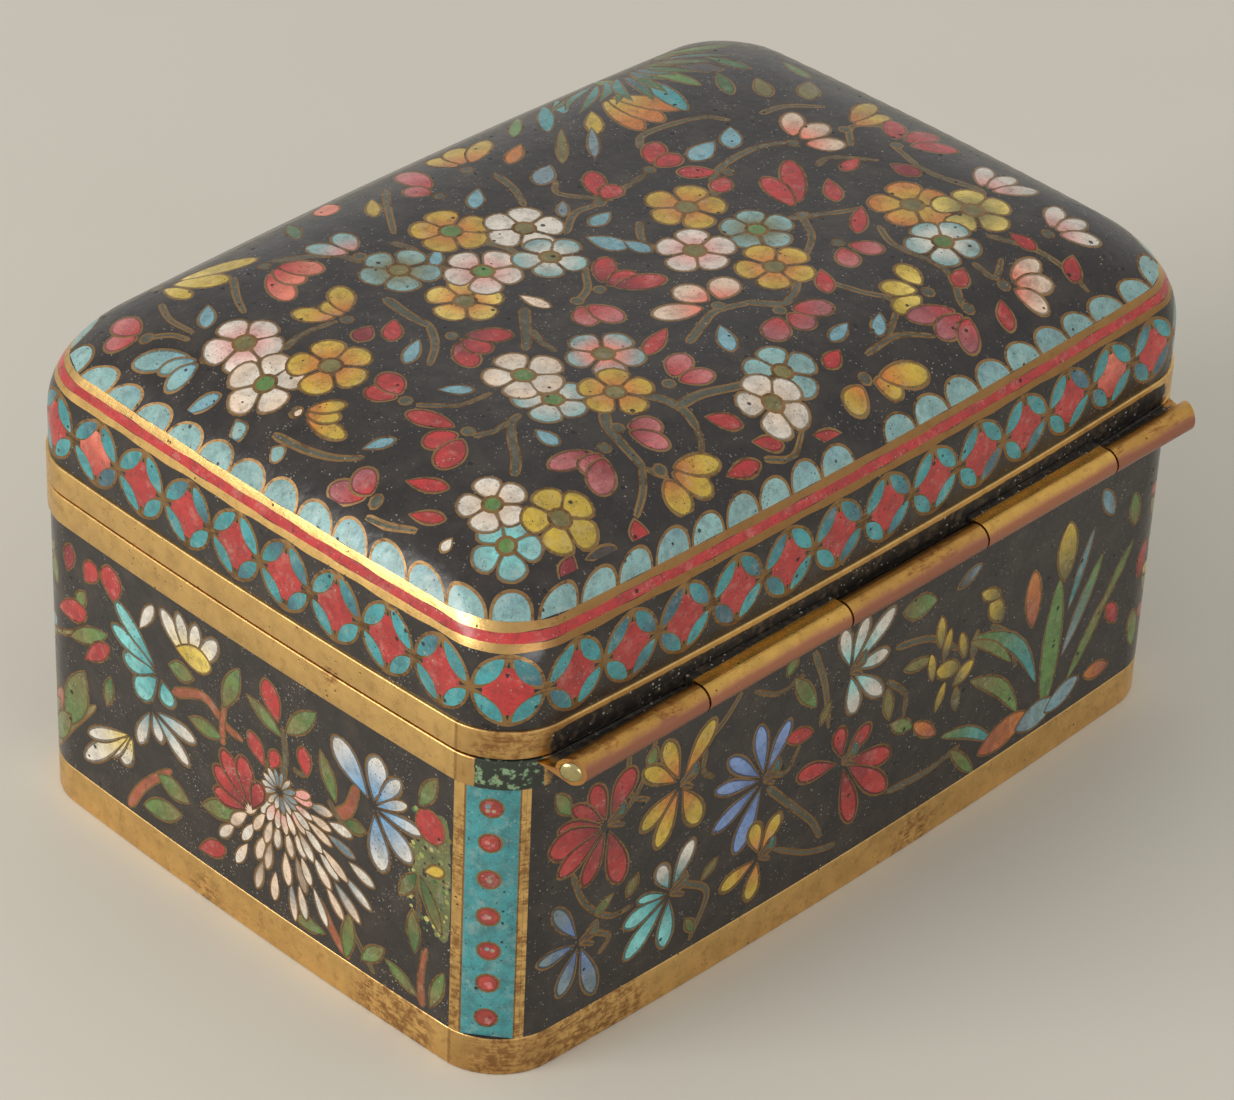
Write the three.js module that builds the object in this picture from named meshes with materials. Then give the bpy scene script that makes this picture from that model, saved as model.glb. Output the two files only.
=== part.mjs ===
import * as THREE from 'three';
import { mergeVertices } from 'three/addons/utils/BufferGeometryUtils.js';

// A cloisonne enamel box with a hinged lid, shown closed.
// Millimetres, +Z up. The origin is the centre of the flat underside. The long sides run
// along X, the lid opens at -Y, and its hinge runs along the +Y side.

// Plan of the box
const boxLength = 92;
const boxWidth = 63.2;
const cornerRadius = 6.1;
const endBow = 0.75;
const sideBow = 1.3;

// Heights of the box
const boxHeight = 35.1;
const footHeight = 4.2;
const boxRimHeight = 3.1;

// Heights of the lid
const seamGap = 0.2;
const lidRimHeight = 2.9;
const lidWallHeight = 3.2;
const domeRise = 13;
const domeRun = 18.9;
const domeFullness = 2.45;
const crownRadius = 9;

// Thicknesses
const boxWall = 2.2;
const floorThickness = 2.2;
const floorFillet = 1.6;
const lidWall = 2.2;
const footThickness = 1.4;
const rimProud = 0.25;
const edgeBreak = 0.3;
const seatClearance = 0.05;

// Hinge
const barrelRadius = 1.35;
const barrelStandoff = 0.3;
const axisBelowSeam = 0.05;
const pinRadius = 0.85;
const boreClearance = 0.09;
const pinProud = 0.3;
const hingeEndInset = 4.8;
const hingeEndSlope = 0.4;
const nearKnuckle = 15.6;
const farKnuckle = 11.9;
const knuckleGap = 0.25;
const leafGap = 0.1;
const leafSeamClearance = 0.1;

// Fineness of the faceted surfaces
const cornerSteps = 7;
const sideSteps = 8;
const domeSteps = 10;
const filletSteps = 3;
const barrelSteps = 16;
const leafSteps = 4;

// Levels worked out from the sizes above
const boxRimBottom = boxHeight - boxRimHeight;
const lidBottom = boxHeight + seamGap;
const lidShellBottom = lidBottom + lidRimHeight;
const domeBottom = lidShellBottom + lidWallHeight;
const hingeAxisY = boxWidth / 2 + rimProud + sideBow + barrelStandoff + barrelRadius;
const hingeAxisZ = boxHeight - axisBelowSeam;
const hingeEnd = boxLength / 2 - hingeEndInset;
const middleKnuckle = (2 * hingeEnd - nearKnuckle - farKnuckle) / 3;

// Materials
const enamel = new THREE.MeshStandardMaterial({ color: 0x17141a, roughness: 0.28, metalness: 0 });
const gilt = new THREE.MeshStandardMaterial({ color: 0xc0903f, roughness: 0.38, metalness: 1 });
const copper = new THREE.MeshStandardMaterial({ color: 0xb0713f, roughness: 0.36, metalness: 1 });
const pinBrass = new THREE.MeshStandardMaterial({ color: 0xb5a468, roughness: 0.3, metalness: 1 });

// Swells a point of a straight-sided outline out to the slightly bowed sides.
function bowed(x, y, halfLength, halfWidth, radius) {
  const nearEnd = THREE.MathUtils.clamp((Math.abs(x) - halfLength + radius) / radius, 0, 1);
  const nearSide = THREE.MathUtils.clamp((Math.abs(y) - halfWidth + radius) / radius, 0, 1);
  const alongEnd = 1 - (y / halfWidth) ** 2;
  const alongSide = 1 - (x / halfLength) ** 2;
  return [x + Math.sign(x) * endBow * alongEnd * nearEnd, y + Math.sign(y) * sideBow * alongSide * nearSide];
}

// One horizontal ring of the plan outline, set in from the box's side faces.
function ring(inset, z, radius = cornerRadius - inset) {
  const halfLength = boxLength / 2 - inset;
  const halfWidth = boxWidth / 2 - inset;
  const r = Math.min(radius, halfLength, halfWidth);
  const points = [];
  const corners = [[1, 1], [-1, 1], [-1, -1], [1, -1]];
  corners.forEach(([signX, signY], index) => {
    const centre = [signX * (halfLength - r), signY * (halfWidth - r)];
    for (let step = 0; step <= cornerSteps; step += 1) {
      const angle = (index + step / cornerSteps) * Math.PI / 2;
      points.push([centre[0] + r * Math.cos(angle), centre[1] + r * Math.sin(angle)]);
    }
    const [nextX, nextY] = corners[(index + 1) % 4];
    const start = points[points.length - 1];
    const end = index % 2 === 0
      ? [nextX * (halfLength - r), start[1]]
      : [start[0], nextY * (halfWidth - r)];
    for (let step = 1; step < sideSteps; step += 1) {
      const share = step / sideSteps;
      points.push([start[0] + (end[0] - start[0]) * share, start[1] + (end[1] - start[1]) * share]);
    }
  });
  return points.map(([x, y]) => {
    const [bx, by] = bowed(x, y, halfLength, halfWidth, r);
    return new THREE.Vector3(bx, by, z);
  });
}

// The Y of the rims' outer face on the hinge side, at a given X.
function rimFaceY(x) {
  const halfLength = boxLength / 2 + rimProud;
  const halfWidth = boxWidth / 2 + rimProud;
  const r = cornerRadius + rimProud;
  const intoCorner = Math.max(0, Math.abs(x) - halfLength + r);
  const y = halfWidth - r + Math.sqrt(Math.max(0, r * r - intoCorner * intoCorner));
  return bowed(x, y, halfLength, halfWidth, r)[1];
}

// Encloses a solid between stacked rings. A band joins its last ring to its first,
// and anything else is closed by a flat cap at each end.
function stack(rings, isBand) {
  const count = rings[0].length;
  const points = rings.flat();
  const faces = [];
  const pairs = isBand ? rings.length : rings.length - 1;
  for (let k = 0; k < pairs; k += 1) {
    const low = k * count;
    const high = ((k + 1) % rings.length) * count;
    for (let i = 0; i < count; i += 1) {
      const next = (i + 1) % count;
      faces.push([low + i, low + next, high + next], [low + i, high + next, high + i]);
    }
  }
  if (!isBand) {
    [[0, true], [rings.length - 1, false]].forEach(([level, isFirst]) => {
      const centre = new THREE.Vector3(0, 0, rings[level][0].z);
      points.push(centre);
      for (let i = 0; i < count; i += 1) {
        const a = level * count + i;
        const b = level * count + (i + 1) % count;
        faces.push(isFirst ? [points.length - 1, b, a] : [points.length - 1, a, b]);
      }
    });
  }
  return solid(points, faces);
}

// Turns points and triangles into a geometry whose faces point outward.
function solid(points, faces) {
  let volume = 0;
  faces.forEach(([a, b, c]) => {
    volume += points[a].dot(new THREE.Vector3().crossVectors(points[b], points[c]));
  });
  const index = faces.flatMap(([a, b, c]) => (volume > 0 ? [a, b, c] : [a, c, b]));
  const geometry = new THREE.BufferGeometry().setFromPoints(points);
  geometry.setIndex(index);
  geometry.computeVertexNormals();
  return geometry;
}

function piece(name, geometry, material) {
  const mesh = new THREE.Mesh(geometry, material);
  mesh.name = name;
  return mesh;
}

// The walls and floor of the box: enamelled copper, open at the top. The wall's lower
// edge steps in behind the foot band, which it sits on.
function boxShell() {
  const footInset = footThickness + seatClearance;
  const rings = [
    ring(footInset, 0),
    ring(footInset, footHeight),
    ring(0, footHeight),
    ring(0, boxRimBottom),
    ring(boxWall, boxRimBottom),
  ];
  for (let step = 0; step <= filletSteps; step += 1) {
    const angle = (step / filletSteps) * Math.PI / 2;
    const inset = boxWall + floorFillet * (1 - Math.cos(angle));
    const z = floorThickness + floorFillet * (1 - Math.sin(angle));
    rings.push(ring(inset, z));
  }
  return stack(rings, false);
}

// A gilt strip round the plan, with its outer edges slightly broken.
function strip(outerInset, innerInset, bottom, top, lowBreak, highBreak) {
  return stack([
    ring(outerInset + lowBreak, bottom),
    ring(outerInset, bottom + lowBreak),
    ring(outerInset, top - highBreak),
    ring(outerInset + highBreak, top),
    ring(innerInset, top),
    ring(innerInset, bottom),
  ], true);
}

function footBand() {
  return strip(0, footThickness, 0, footHeight, edgeBreak, edgeBreak / 3);
}

function boxRim() {
  return strip(-rimProud, boxWall, boxRimBottom, boxHeight, edgeBreak / 2, edgeBreak / 2);
}

function lidRim() {
  return strip(-rimProud, lidWall, lidBottom, lidShellBottom, edgeBreak / 2, edgeBreak / 2);
}

// The lid's outer profile, from its lower edge up the wall and over the shoulder to
// the flat crown: how far in, how high, and the corner radius there.
function lidProfile() {
  const profile = [{ inset: 0, z: lidShellBottom, radius: cornerRadius }];
  for (let step = 0; step <= domeSteps; step += 1) {
    const angle = (step / domeSteps) * Math.PI / 2;
    const inward = 1 - Math.max(0, Math.cos(angle)) ** (2 / domeFullness);
    const upward = Math.sin(angle) ** (2 / domeFullness);
    profile.push({
      inset: domeRun * inward,
      z: domeBottom + domeRise * upward,
      radius: THREE.MathUtils.lerp(cornerRadius, crownRadius, inward),
    });
  }
  return profile;
}

// The lid's dome: the outer profile and the same profile moved in by the wall.
function lidShell() {
  const outer = lidProfile();
  const inner = outer.map((point, index) => {
    const before = outer[Math.max(0, index - 1)];
    const after = outer[Math.min(outer.length - 1, index + 1)];
    const slope = new THREE.Vector2(after.inset - before.inset, after.z - before.z).normalize();
    const isEdge = index === 0;
    const isCrown = index === outer.length - 1;
    const inward = isEdge ? 1 : slope.y;
    const downward = isCrown ? 1 : slope.x;
    return {
      inset: point.inset + lidWall * (isCrown ? 0 : inward),
      z: point.z - lidWall * (isEdge ? 0 : downward),
      radius: point.radius - lidWall * (isCrown ? 0 : inward),
    };
  });
  const rings = [...outer.reverse(), ...inner];
  return stack(rings.map(({ inset, z, radius }) => ring(inset, z, radius)), false);
}

// The section of a box knuckle: a barrel with its leaf low, under the seam.
function boxKnuckleSection(reach) {
  const leafTop = axisBelowSeam - leafSeamClearance;
  const meet = Math.PI - Math.asin(leafTop / barrelRadius);
  const shape = new THREE.Shape();
  shape.moveTo(-reach, -barrelRadius);
  shape.absarc(0, 0, barrelRadius, -Math.PI / 2, meet, false);
  shape.lineTo(-reach, leafTop);
  shape.closePath();
  return shape;
}

// The section of a lid knuckle: a barrel with its leaf high, over the seam.
function lidKnuckleSection(reach) {
  const leafBottom = axisBelowSeam + seamGap;
  const meet = Math.PI - Math.asin(leafBottom / barrelRadius);
  const shape = new THREE.Shape();
  shape.moveTo(-reach, barrelRadius);
  shape.lineTo(-reach, leafBottom);
  shape.absarc(0, 0, barrelRadius, meet, 2.5 * Math.PI, false);
  shape.closePath();
  return shape;
}

// One knuckle of the hinge between two X positions. The leaf's inner edge follows the rim,
// and an end at the box's corner is filed back so that it slopes round with the corner.
function knuckle(section, fromX, toX, slopedEndX) {
  const reach = barrelStandoff + barrelRadius;
  const shape = section(reach);
  const bore = new THREE.Path();
  bore.absarc(0, 0, pinRadius + boreClearance, 0, 2 * Math.PI, true);
  shape.holes.push(bore);
  const extruded = new THREE.ExtrudeGeometry(shape, {
    depth: toX - fromX,
    steps: leafSteps,
    curveSegments: barrelSteps,
    bevelEnabled: false,
  });
  extruded.deleteAttribute('normal');
  extruded.deleteAttribute('uv');
  const geometry = mergeVertices(extruded);
  const position = geometry.attributes.position;
  for (let i = 0; i < position.count; i += 1) {
    const across = position.getX(i);
    const up = position.getY(i);
    let x = fromX + position.getZ(i);
    const isLeafEdge = across < -reach + seatClearance;
    let y = hingeAxisY + across;
    if (slopedEndX !== undefined && Math.abs(x - slopedEndX) < knuckleGap) {
      const edgeY = isLeafEdge ? rimFaceY(slopedEndX) + leafGap : y;
      x -= Math.sign(slopedEndX) * hingeEndSlope * (edgeY - hingeAxisY);
    }
    if (isLeafEdge) {
      y = rimFaceY(x) + leafGap;
    }
    position.setXYZ(i, x, y, hingeAxisZ + up);
  }
  geometry.computeVertexNormals();
  return geometry;
}

// The hinge pin, a rod through all the knuckles with a low dome at each end.
function hingePin() {
  const tip = hingeEnd + pinProud;
  const shoulder = hingeEnd - hingeEndSlope * pinRadius;
  const profile = [
    new THREE.Vector2(0, -tip),
    new THREE.Vector2(pinRadius * 0.6, -tip + pinProud * 0.3),
    new THREE.Vector2(pinRadius, -shoulder),
    new THREE.Vector2(pinRadius, shoulder),
    new THREE.Vector2(pinRadius * 0.6, tip - pinProud * 0.3),
    new THREE.Vector2(0, tip),
  ];
  const geometry = new THREE.LatheGeometry(profile, barrelSteps);
  geometry.rotateZ(Math.PI / 2);
  geometry.translate(0, hingeAxisY, hingeAxisZ);
  return geometry;
}

const box = new THREE.Group();
box.add(piece('box_shell', boxShell(), enamel));
box.add(piece('foot_band', footBand(), gilt));
box.add(piece('box_rim', boxRim(), gilt));

const lid = new THREE.Group();
lid.add(piece('lid_shell', lidShell(), enamel));
lid.add(piece('lid_rim', lidRim(), gilt));

// Five knuckles from +X to -X: the odd ones belong to the box and the even ones to the lid.
const joints = [hingeEnd];
joints.push(hingeEnd - nearKnuckle);
for (let middle = 0; middle < 3; middle += 1) {
  joints.push(joints[joints.length - 1] - middleKnuckle);
}
joints.push(-hingeEnd);
for (let number = 1; number <= 5; number += 1) {
  const isFirst = number === 1;
  const isLast = number === 5;
  const highX = joints[number - 1] - (isFirst ? 0 : knuckleGap / 2);
  const lowX = joints[number] + (isLast ? 0 : knuckleGap / 2);
  const slopedEndX = isFirst ? hingeEnd : (isLast ? -hingeEnd : undefined);
  const isBoxKnuckle = number % 2 === 1;
  const section = isBoxKnuckle ? boxKnuckleSection : lidKnuckleSection;
  const owner = isBoxKnuckle ? 'box' : 'lid';
  const group = isBoxKnuckle ? box : lid;
  const geometry = knuckle(section, lowX, highX, slopedEndX);
  group.add(piece(`${owner}_hinge_knuckle_${number}`, geometry, copper));
}
box.add(piece('hinge_pin', hingePin(), pinBrass));

const cloisonneBox = new THREE.Group();
cloisonneBox.add(box);
cloisonneBox.add(lid);

export default cloisonneBox;
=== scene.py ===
"""Looks of the cloisonne enamel box: flush enamel cells between wires, gilt bands and a long hinge."""

import math
import random

import bpy
import numpy as np
from mathutils import Matrix, Vector
from mathutils.geometry import delaunay_2d_cdt


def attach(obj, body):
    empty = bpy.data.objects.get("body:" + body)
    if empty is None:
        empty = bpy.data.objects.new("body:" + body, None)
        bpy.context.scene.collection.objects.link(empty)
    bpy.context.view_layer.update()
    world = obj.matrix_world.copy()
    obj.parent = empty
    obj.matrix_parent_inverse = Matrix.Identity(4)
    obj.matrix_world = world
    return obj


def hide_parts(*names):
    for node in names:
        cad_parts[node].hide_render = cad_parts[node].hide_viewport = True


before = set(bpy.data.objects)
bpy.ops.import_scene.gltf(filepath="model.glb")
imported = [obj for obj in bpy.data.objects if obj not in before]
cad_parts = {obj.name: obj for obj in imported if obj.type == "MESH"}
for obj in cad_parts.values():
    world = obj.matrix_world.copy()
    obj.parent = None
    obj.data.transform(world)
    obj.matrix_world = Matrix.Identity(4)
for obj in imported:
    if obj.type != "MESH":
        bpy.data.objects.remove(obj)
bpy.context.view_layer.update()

MM = 0.001
rng = random.Random(7)

# sizes of the model, in millimetres
HALF_LENGTH, HALF_WIDTH, CORNER = 46.0, 31.6, 6.1
END_BOW, SIDE_BOW = 0.75, 1.3
FOOT_TOP, RIM_BOTTOM, SEAM = 4.2, 32.0, 35.1
LID_BOTTOM, LID_SHELL_BOTTOM, DOME_BOTTOM = 35.3, 38.2, 41.4
DOME_RISE, DOME_RUN, DOME_FULLNESS, CROWN_CORNER = 13.0, 18.9, 2.45, 9.0
WALL, FLOOR, FILLET, FOOT_THICK, RIM_PROUD = 2.2, 2.2, 1.6, 1.4, 0.25

# a quarter of the perimeter: half an end, a corner's arc and half a side
FLAT_END, ARC, FLAT_SIDE = HALF_WIDTH - CORNER, CORNER * math.pi / 2, HALF_LENGTH - CORNER
QUARTER = FLAT_END + ARC + FLAT_SIDE
SPANS = ((0, FLAT_END), (FLAT_END, FLAT_END + ARC), (FLAT_END + ARC, QUARTER))
CUT = 2 * QUARTER


# colours
def srgb(r, g, b):
    return tuple((c / 255 / 12.92) if c <= 10 else ((c / 255 + 0.055) / 1.055) ** 2.4 for c in (r, g, b))


# tones of the cells, as the photo shows them
TONES = {
    "ground": (33, 29, 28), "red": (172, 46, 46), "wine": (128, 34, 42), "coral": (226, 124, 100),
    "pink": (216, 152, 144), "white": (214, 206, 192), "cream": (214, 190, 166), "yellow": (192, 162, 56),
    "pale_yellow": (222, 196, 96), "orange": (190, 112, 44), "blue": (84, 116, 166),
    "pale_blue": (130, 168, 166), "sky": (114, 158, 168), "turquoise": (62, 144, 148),
    "pale_turquoise": (122, 198, 194), "green": (88, 124, 62), "dark_green": (52, 96, 50),
    "olive": (112, 104, 56), "bark": (74, 76, 62), "rock": (92, 98, 56), "russet": (150, 78, 52),
    "smoke": (70, 62, 58), "rose": (188, 104, 104), "mauve": (158, 86, 90), "azure": (88, 146, 188),
    "brick": (156, 56, 48), "periwinkle": (118, 146, 194), "slate_blue": (58, 98, 112),
    "dusk": (152, 132, 112), "slate": (112, 132, 140), "moss": (132, 140, 74), "gold_fleck": (176, 168, 96),
}
COLOURS = {tone: srgb(*levels) for tone, levels in TONES.items()}


# surfaces
def bows(x, y, inset, radius):
    """How far the bow of the ends and of the sides carries a plan point outwards."""
    a, b = HALF_LENGTH - inset, HALF_WIDTH - inset
    near_end = np.clip((x - a + radius) / radius, 0, 1)
    near_side = np.clip((y - b + radius) / radius, 0, 1)
    return (END_BOW * (1 - np.clip(y / b, 0, 1) ** 2) * near_end,
            SIDE_BOW * (1 - np.clip(x / a, 0, 1) ** 2) * near_side)


def outline(s, inset, radius):
    """Plan points at perimeter positions s, from the middle of the +X side towards +Y."""
    s = np.mod(np.asarray(s, float), 4 * QUARTER)
    inset, radius = np.broadcast_to(inset, s.shape), np.broadcast_to(radius, s.shape)
    quarter = np.minimum((s / QUARTER).astype(int), 3)
    local = np.where(quarter % 2 == 0, s - quarter * QUARTER, (quarter + 1) * QUARTER - s)
    a, b = HALF_LENGTH - inset, HALF_WIDTH - inset
    angle = np.clip((local - FLAT_END) / ARC, 0, 1) * math.pi / 2
    along_end = np.clip(local / FLAT_END, 0, 1)
    along_side = np.clip((local - FLAT_END - ARC) / FLAT_SIDE, 0, 1)
    x = a - radius + radius * np.cos(angle) - along_side * (a - radius)
    y = (b - radius) * along_end + radius * np.sin(angle)
    bow_x, bow_y = bows(x, y, inset, radius)
    sign_x = np.where((quarter == 0) | (quarter == 3), 1, -1)
    sign_y = np.where(quarter < 2, 1, -1)
    return np.stack([sign_x * (x + bow_x), sign_y * (y + bow_y)], -1)


def ring_radius(inset):
    """Corner radius of the dome's ring at an inset from the side."""
    return CORNER + (CROWN_CORNER - CORNER) * np.clip(inset / DOME_RUN, 0, 1)


def dome_level(inset):
    """Height of the lid's outer face at an inset from the side."""
    cosine = (1 - np.clip(inset / DOME_RUN, 0, 1)) ** (DOME_FULLNESS / 2)
    upward = np.sqrt(np.clip(1 - cosine ** 2, 0, 1)) ** (2 / DOME_FULLNESS)
    return DOME_BOTTOM + DOME_RISE * upward


def dome_shares(turn):
    """Shares of the dome's run and of its rise, at a turn from its foot (0) to its crown."""
    return 1 - np.clip(np.cos(turn), 0, 1) ** (2 / DOME_FULLNESS), np.sin(turn) ** (2 / DOME_FULLNESS)


# the lid's section: inset, height and climb from the lower edge of its wall to its crown
run, rise = dome_shares(np.linspace(0, math.pi / 2, 600))
section_inset = np.concatenate([[0], DOME_RUN * run])
section_height = np.concatenate([[LID_SHELL_BOTTOM], DOME_BOTTOM + DOME_RISE * rise])
section_climb = np.concatenate([[0], np.cumsum(np.hypot(np.diff(section_inset), np.diff(section_height)))])


def on_wall(p):
    """(perimeter, height) to space."""
    return np.column_stack([outline(p[:, 0], 0, CORNER), p[:, 1]])


def on_lid_side(p):
    """(perimeter, climb) to space: the climb runs up the lid's wall and over its shoulder."""
    inset = np.interp(p[:, 1], section_climb, section_inset)
    plan = outline(p[:, 0], inset, ring_radius(inset))
    return np.column_stack([plan, np.interp(p[:, 1], section_climb, section_height)])


def on_lid_top(p):
    """Plan point to space, by halving a range of insets down to the ring through the point."""
    x, y = np.abs(p[:, 0]), np.abs(p[:, 1])
    low, high = np.zeros(len(p)), np.full(len(p), DOME_RUN)
    for _ in range(34):
        inset = (low + high) / 2
        radius = ring_radius(inset)
        px, py = x, y
        for _ in range(3):
            bow_x, bow_y = bows(px, py, inset, radius)
            px, py = x - bow_x, y - bow_y
        qx, qy = px - HALF_LENGTH + inset + radius, py - HALF_WIDTH + inset + radius
        gap = np.hypot(np.maximum(qx, 0), np.maximum(qy, 0)) + np.minimum(np.maximum(qx, qy), 0) - radius
        low, high = np.where(gap < 0, inset, low), np.where(gap < 0, high, inset)
    return np.column_stack([p, dome_level((low + high) / 2)])


def normals_of(place, p):
    """Unit normals of a placed surface, from points a short step to either side."""
    step = 0.05
    across = place(p + [step, 0]) - place(p - [step, 0])
    along = place(p + [0, step]) - place(p - [0, step])
    normal = np.cross(across, along)
    return normal / np.maximum(np.linalg.norm(normal, axis=1, keepdims=True), 1e-9)


# materials
class Nodes:
    """Short names for building a material's node tree. Scales of noise and spots are per millimetre."""

    def __init__(self, name):
        self.material = bpy.data.materials.new(name)
        self.material.use_nodes = True
        self.tree = self.material.node_tree
        self.shader = self.tree.nodes["Principled BSDF"]
        self.mm = self.vector("MULTIPLY", self.node("TexCoord").outputs["Object"], (1 / MM, 1 / MM, 1 / MM))

    def node(self, kind, **settings):
        made = self.tree.nodes.new("ShaderNode" + kind)
        for key, value in settings.items():
            setattr(made, key, value)
        return made

    def link(self, source, target):
        self.tree.links.new(source, target)

    def feed(self, socket, value):
        if isinstance(value, bpy.types.NodeSocket):
            self.link(value, socket)
        elif isinstance(value, tuple) and socket.type == "RGBA":
            socket.default_value = (*value, 1)
        else:
            socket.default_value = value

    def vector(self, operation, source, fixed):
        made = self.node("VectorMath", operation=operation)
        self.link(source, made.inputs[0])
        made.inputs[1].default_value = fixed
        return made.outputs["Value" if operation == "DISTANCE" else "Vector"]

    def split(self, vector):
        made = self.node("SeparateXYZ")
        self.link(vector, made.inputs[0])
        return made.outputs

    def math(self, operation, a, b=0.0, clamp=False):
        made = self.node("Math", operation=operation, use_clamp=clamp)
        self.feed(made.inputs[0], a)
        self.feed(made.inputs[1], b)
        return made.outputs[0]

    def times(self, first, *others):
        for other in others:
            first = self.math("MULTIPLY", first, other)
        return first

    def plus(self, first, *others):
        for other in others:
            first = self.math("ADD", first, other)
        return first

    def mix(self, share, a, b, blend="MIX"):
        made = self.node("Mix", data_type="RGBA", blend_type=blend)
        self.feed(made.inputs["Factor"], share)
        self.feed(made.inputs[6], a)
        self.feed(made.inputs[7], b)
        return made.outputs[2]

    def tinted(self, colour, *layers):
        """A colour under layers of (mask, share, tone), each over those before it."""
        for mask, share, tone in layers:
            colour = self.mix(self.times(mask, share), colour, tone)
        return colour

    def noise(self, scale, detail=3.0, rough=0.55, at=None):
        made = self.node("TexNoise")
        for key, value in (("Scale", scale), ("Detail", detail), ("Roughness", rough)):
            made.inputs[key].default_value = value
        self.link(at or self.mm, made.inputs["Vector"])
        return made.outputs["Fac"]

    def spots(self, scale, size):
        """Small round spots of random sizes, none bigger than size (a share of their spacing)."""
        made = self.node("TexVoronoi")
        made.inputs["Scale"].default_value = scale
        self.link(self.mm, made.inputs["Vector"])
        split = self.node("SeparateColor")
        self.link(made.outputs["Color"], split.inputs[0])
        reach = self.times(self.math("POWER", split.outputs[0], 4.0), size)
        depth = self.math("SUBTRACT", reach, made.outputs["Distance"])
        return self.math("DIVIDE", depth, SPOT_EDGE, clamp=True)

    def step(self, value, low, high):
        """A smooth step from 0 at low to 1 at high, which falls where low is the higher one."""
        made = self.node("MapRange", interpolation_type="SMOOTHSTEP")
        self.feed(made.inputs["Value"], value)
        made.inputs["From Min"].default_value = low
        made.inputs["From Max"].default_value = high
        return made.outputs["Result"]

    def near(self, point, reach, soft):
        """One near a point, in millimetres, and nothing beyond its reach, with a ragged edge."""
        away = self.plus(self.vector("DISTANCE", self.mm, point), self.times(self.noise(0.9, 4), soft * 2))
        return self.math("DIVIDE", self.math("SUBTRACT", reach + soft, away), soft, clamp=True)

    def finish(self, colour, rough, height, depth_mm, metallic=0.0):
        bump = self.node("Bump")
        bump.inputs["Distance"].default_value = depth_mm * MM
        bump.inputs["Strength"].default_value = 1.0
        self.link(height, bump.inputs["Height"])
        for key, value in (("Base Color", colour), ("Roughness", rough), ("Normal", bump.outputs[0]),
                           ("Metallic", metallic)):
            self.feed(self.shader.inputs[key], value)
        return self.material


SPOT_EDGE = 0.05


def enamel_material():
    """Enamel in the tone of each cell, with clouds, dust, pepper and the pits of ground glass."""
    n = Nodes("cell_enamel")
    cell = n.node("Attribute", attribute_name="cell").outputs["Color"]
    cloud = n.step(n.noise(0.45, 4), 0.3, 0.7)
    shade = n.plus(n.times(cloud, 0.34), n.times(n.noise(5.0, 3), 0.7), 0.48)
    grey = n.node("CombineColor")
    for socket in grey.inputs[:3]:
        n.link(shade, socket)
    colour = n.mix(1.0, cell, grey.outputs[0], "MULTIPLY")
    # paler and smokier clouds inside the cells; the black ground has no pale ones
    level = n.node("RGBToBW")
    n.link(cell, level.inputs[0])
    milky = n.times(n.step(n.noise(0.8, 5, 0.65), 0.5, 0.7), n.step(level.outputs[0], 0.015, 0.1), 0.42)
    smoky = n.times(n.step(n.noise(1.05, 5, 0.65), 0.48, 0.66), 0.6)
    colour = n.mix(n.plus(milky, 0.02), colour, n.mix(0.4, cell, srgb(206, 190, 172)))
    colour = n.mix(smoky, colour, n.mix(0.5, cell, srgb(52, 44, 42)))
    haze = n.step(n.noise(0.28, 5, 0.62), 0.42, 0.72)
    dust = n.times(n.spots(4.0, 0.42), n.step(n.noise(0.4, 3), 0.35, 0.75))
    pepper = n.times(n.spots(5.5, 0.5), n.step(n.noise(0.7, 3), 0.35, 0.65))
    holes, pores, pale = n.spots(0.95, 0.26), n.spots(2.9, 0.26), n.spots(1.9, 0.17)
    colour = n.tinted(colour, (haze, 0.07, srgb(150, 132, 112)), (dust, 0.6, srgb(186, 176, 160)),
                      (pepper, 0.55, srgb(60, 52, 48)), (pores, 0.8, srgb(36, 30, 28)),
                      (pale, 0.6, srgb(190, 184, 172)), (holes, 0.9, srgb(24, 19, 18)))
    pits = n.math("MAXIMUM", holes, pores)
    rough = n.plus(n.times(n.noise(1.1, 4), 0.26), 0.1, n.times(pits, 0.3))
    swell = n.plus(n.times(n.noise(0.55, 2), 1.3), n.times(n.noise(7.0, 3), 0.1))
    return n.finish(colour, rough, n.math("SUBTRACT", swell, pits), 0.05)


def gilt_material(name, bright, dull, wear, rough_low, rough_high, patches):
    """Fire gilding: a warm soft metal, browned where it has worn, with scratches and tiny pits."""
    n = Nodes(name)
    streak = n.noise(1.4, 5, 0.7, n.vector("MULTIPLY", n.mm, (0.35, 0.35, 3.0)))
    worn = n.step(n.plus(n.times(n.noise(0.16, 5, 0.6), 0.7), n.times(streak, 0.3)), wear, wear + 0.1)
    for patch in patches:
        worn = n.math("MAXIMUM", worn, n.near(*patch))
    rubbed = n.step(n.plus(n.noise(1.3, 5, 0.7), n.times(streak, 0.7)), 0.72, 1.0)
    specks = n.spots(1.3, 0.2)
    colour = n.mix(n.step(n.noise(0.5, 4), 0.25, 0.8), bright, tuple(c * 0.78 for c in bright))
    browned = tuple((a + 2 * b) / 3 for a, b in zip(bright, dull))
    colour = n.tinted(colour, (n.step(n.noise(0.9, 6, 0.7), 0.5, 0.68), 0.5, browned),
                      (n.times(worn, rubbed), 0.8, dull), (n.spots(3.4, 0.3), 0.5, srgb(112, 78, 44)),
                      (specks, 0.8, srgb(70, 44, 26)))
    rough = n.plus(n.times(n.noise(1.8, 4), rough_high - rough_low), rough_low, n.times(worn, 0.15))
    height = n.plus(n.times(n.noise(2.2, 5, 0.65), 0.6), n.times(streak, 0.6))
    return n, colour, rough, n.math("SUBTRACT", height, specks)


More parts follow.
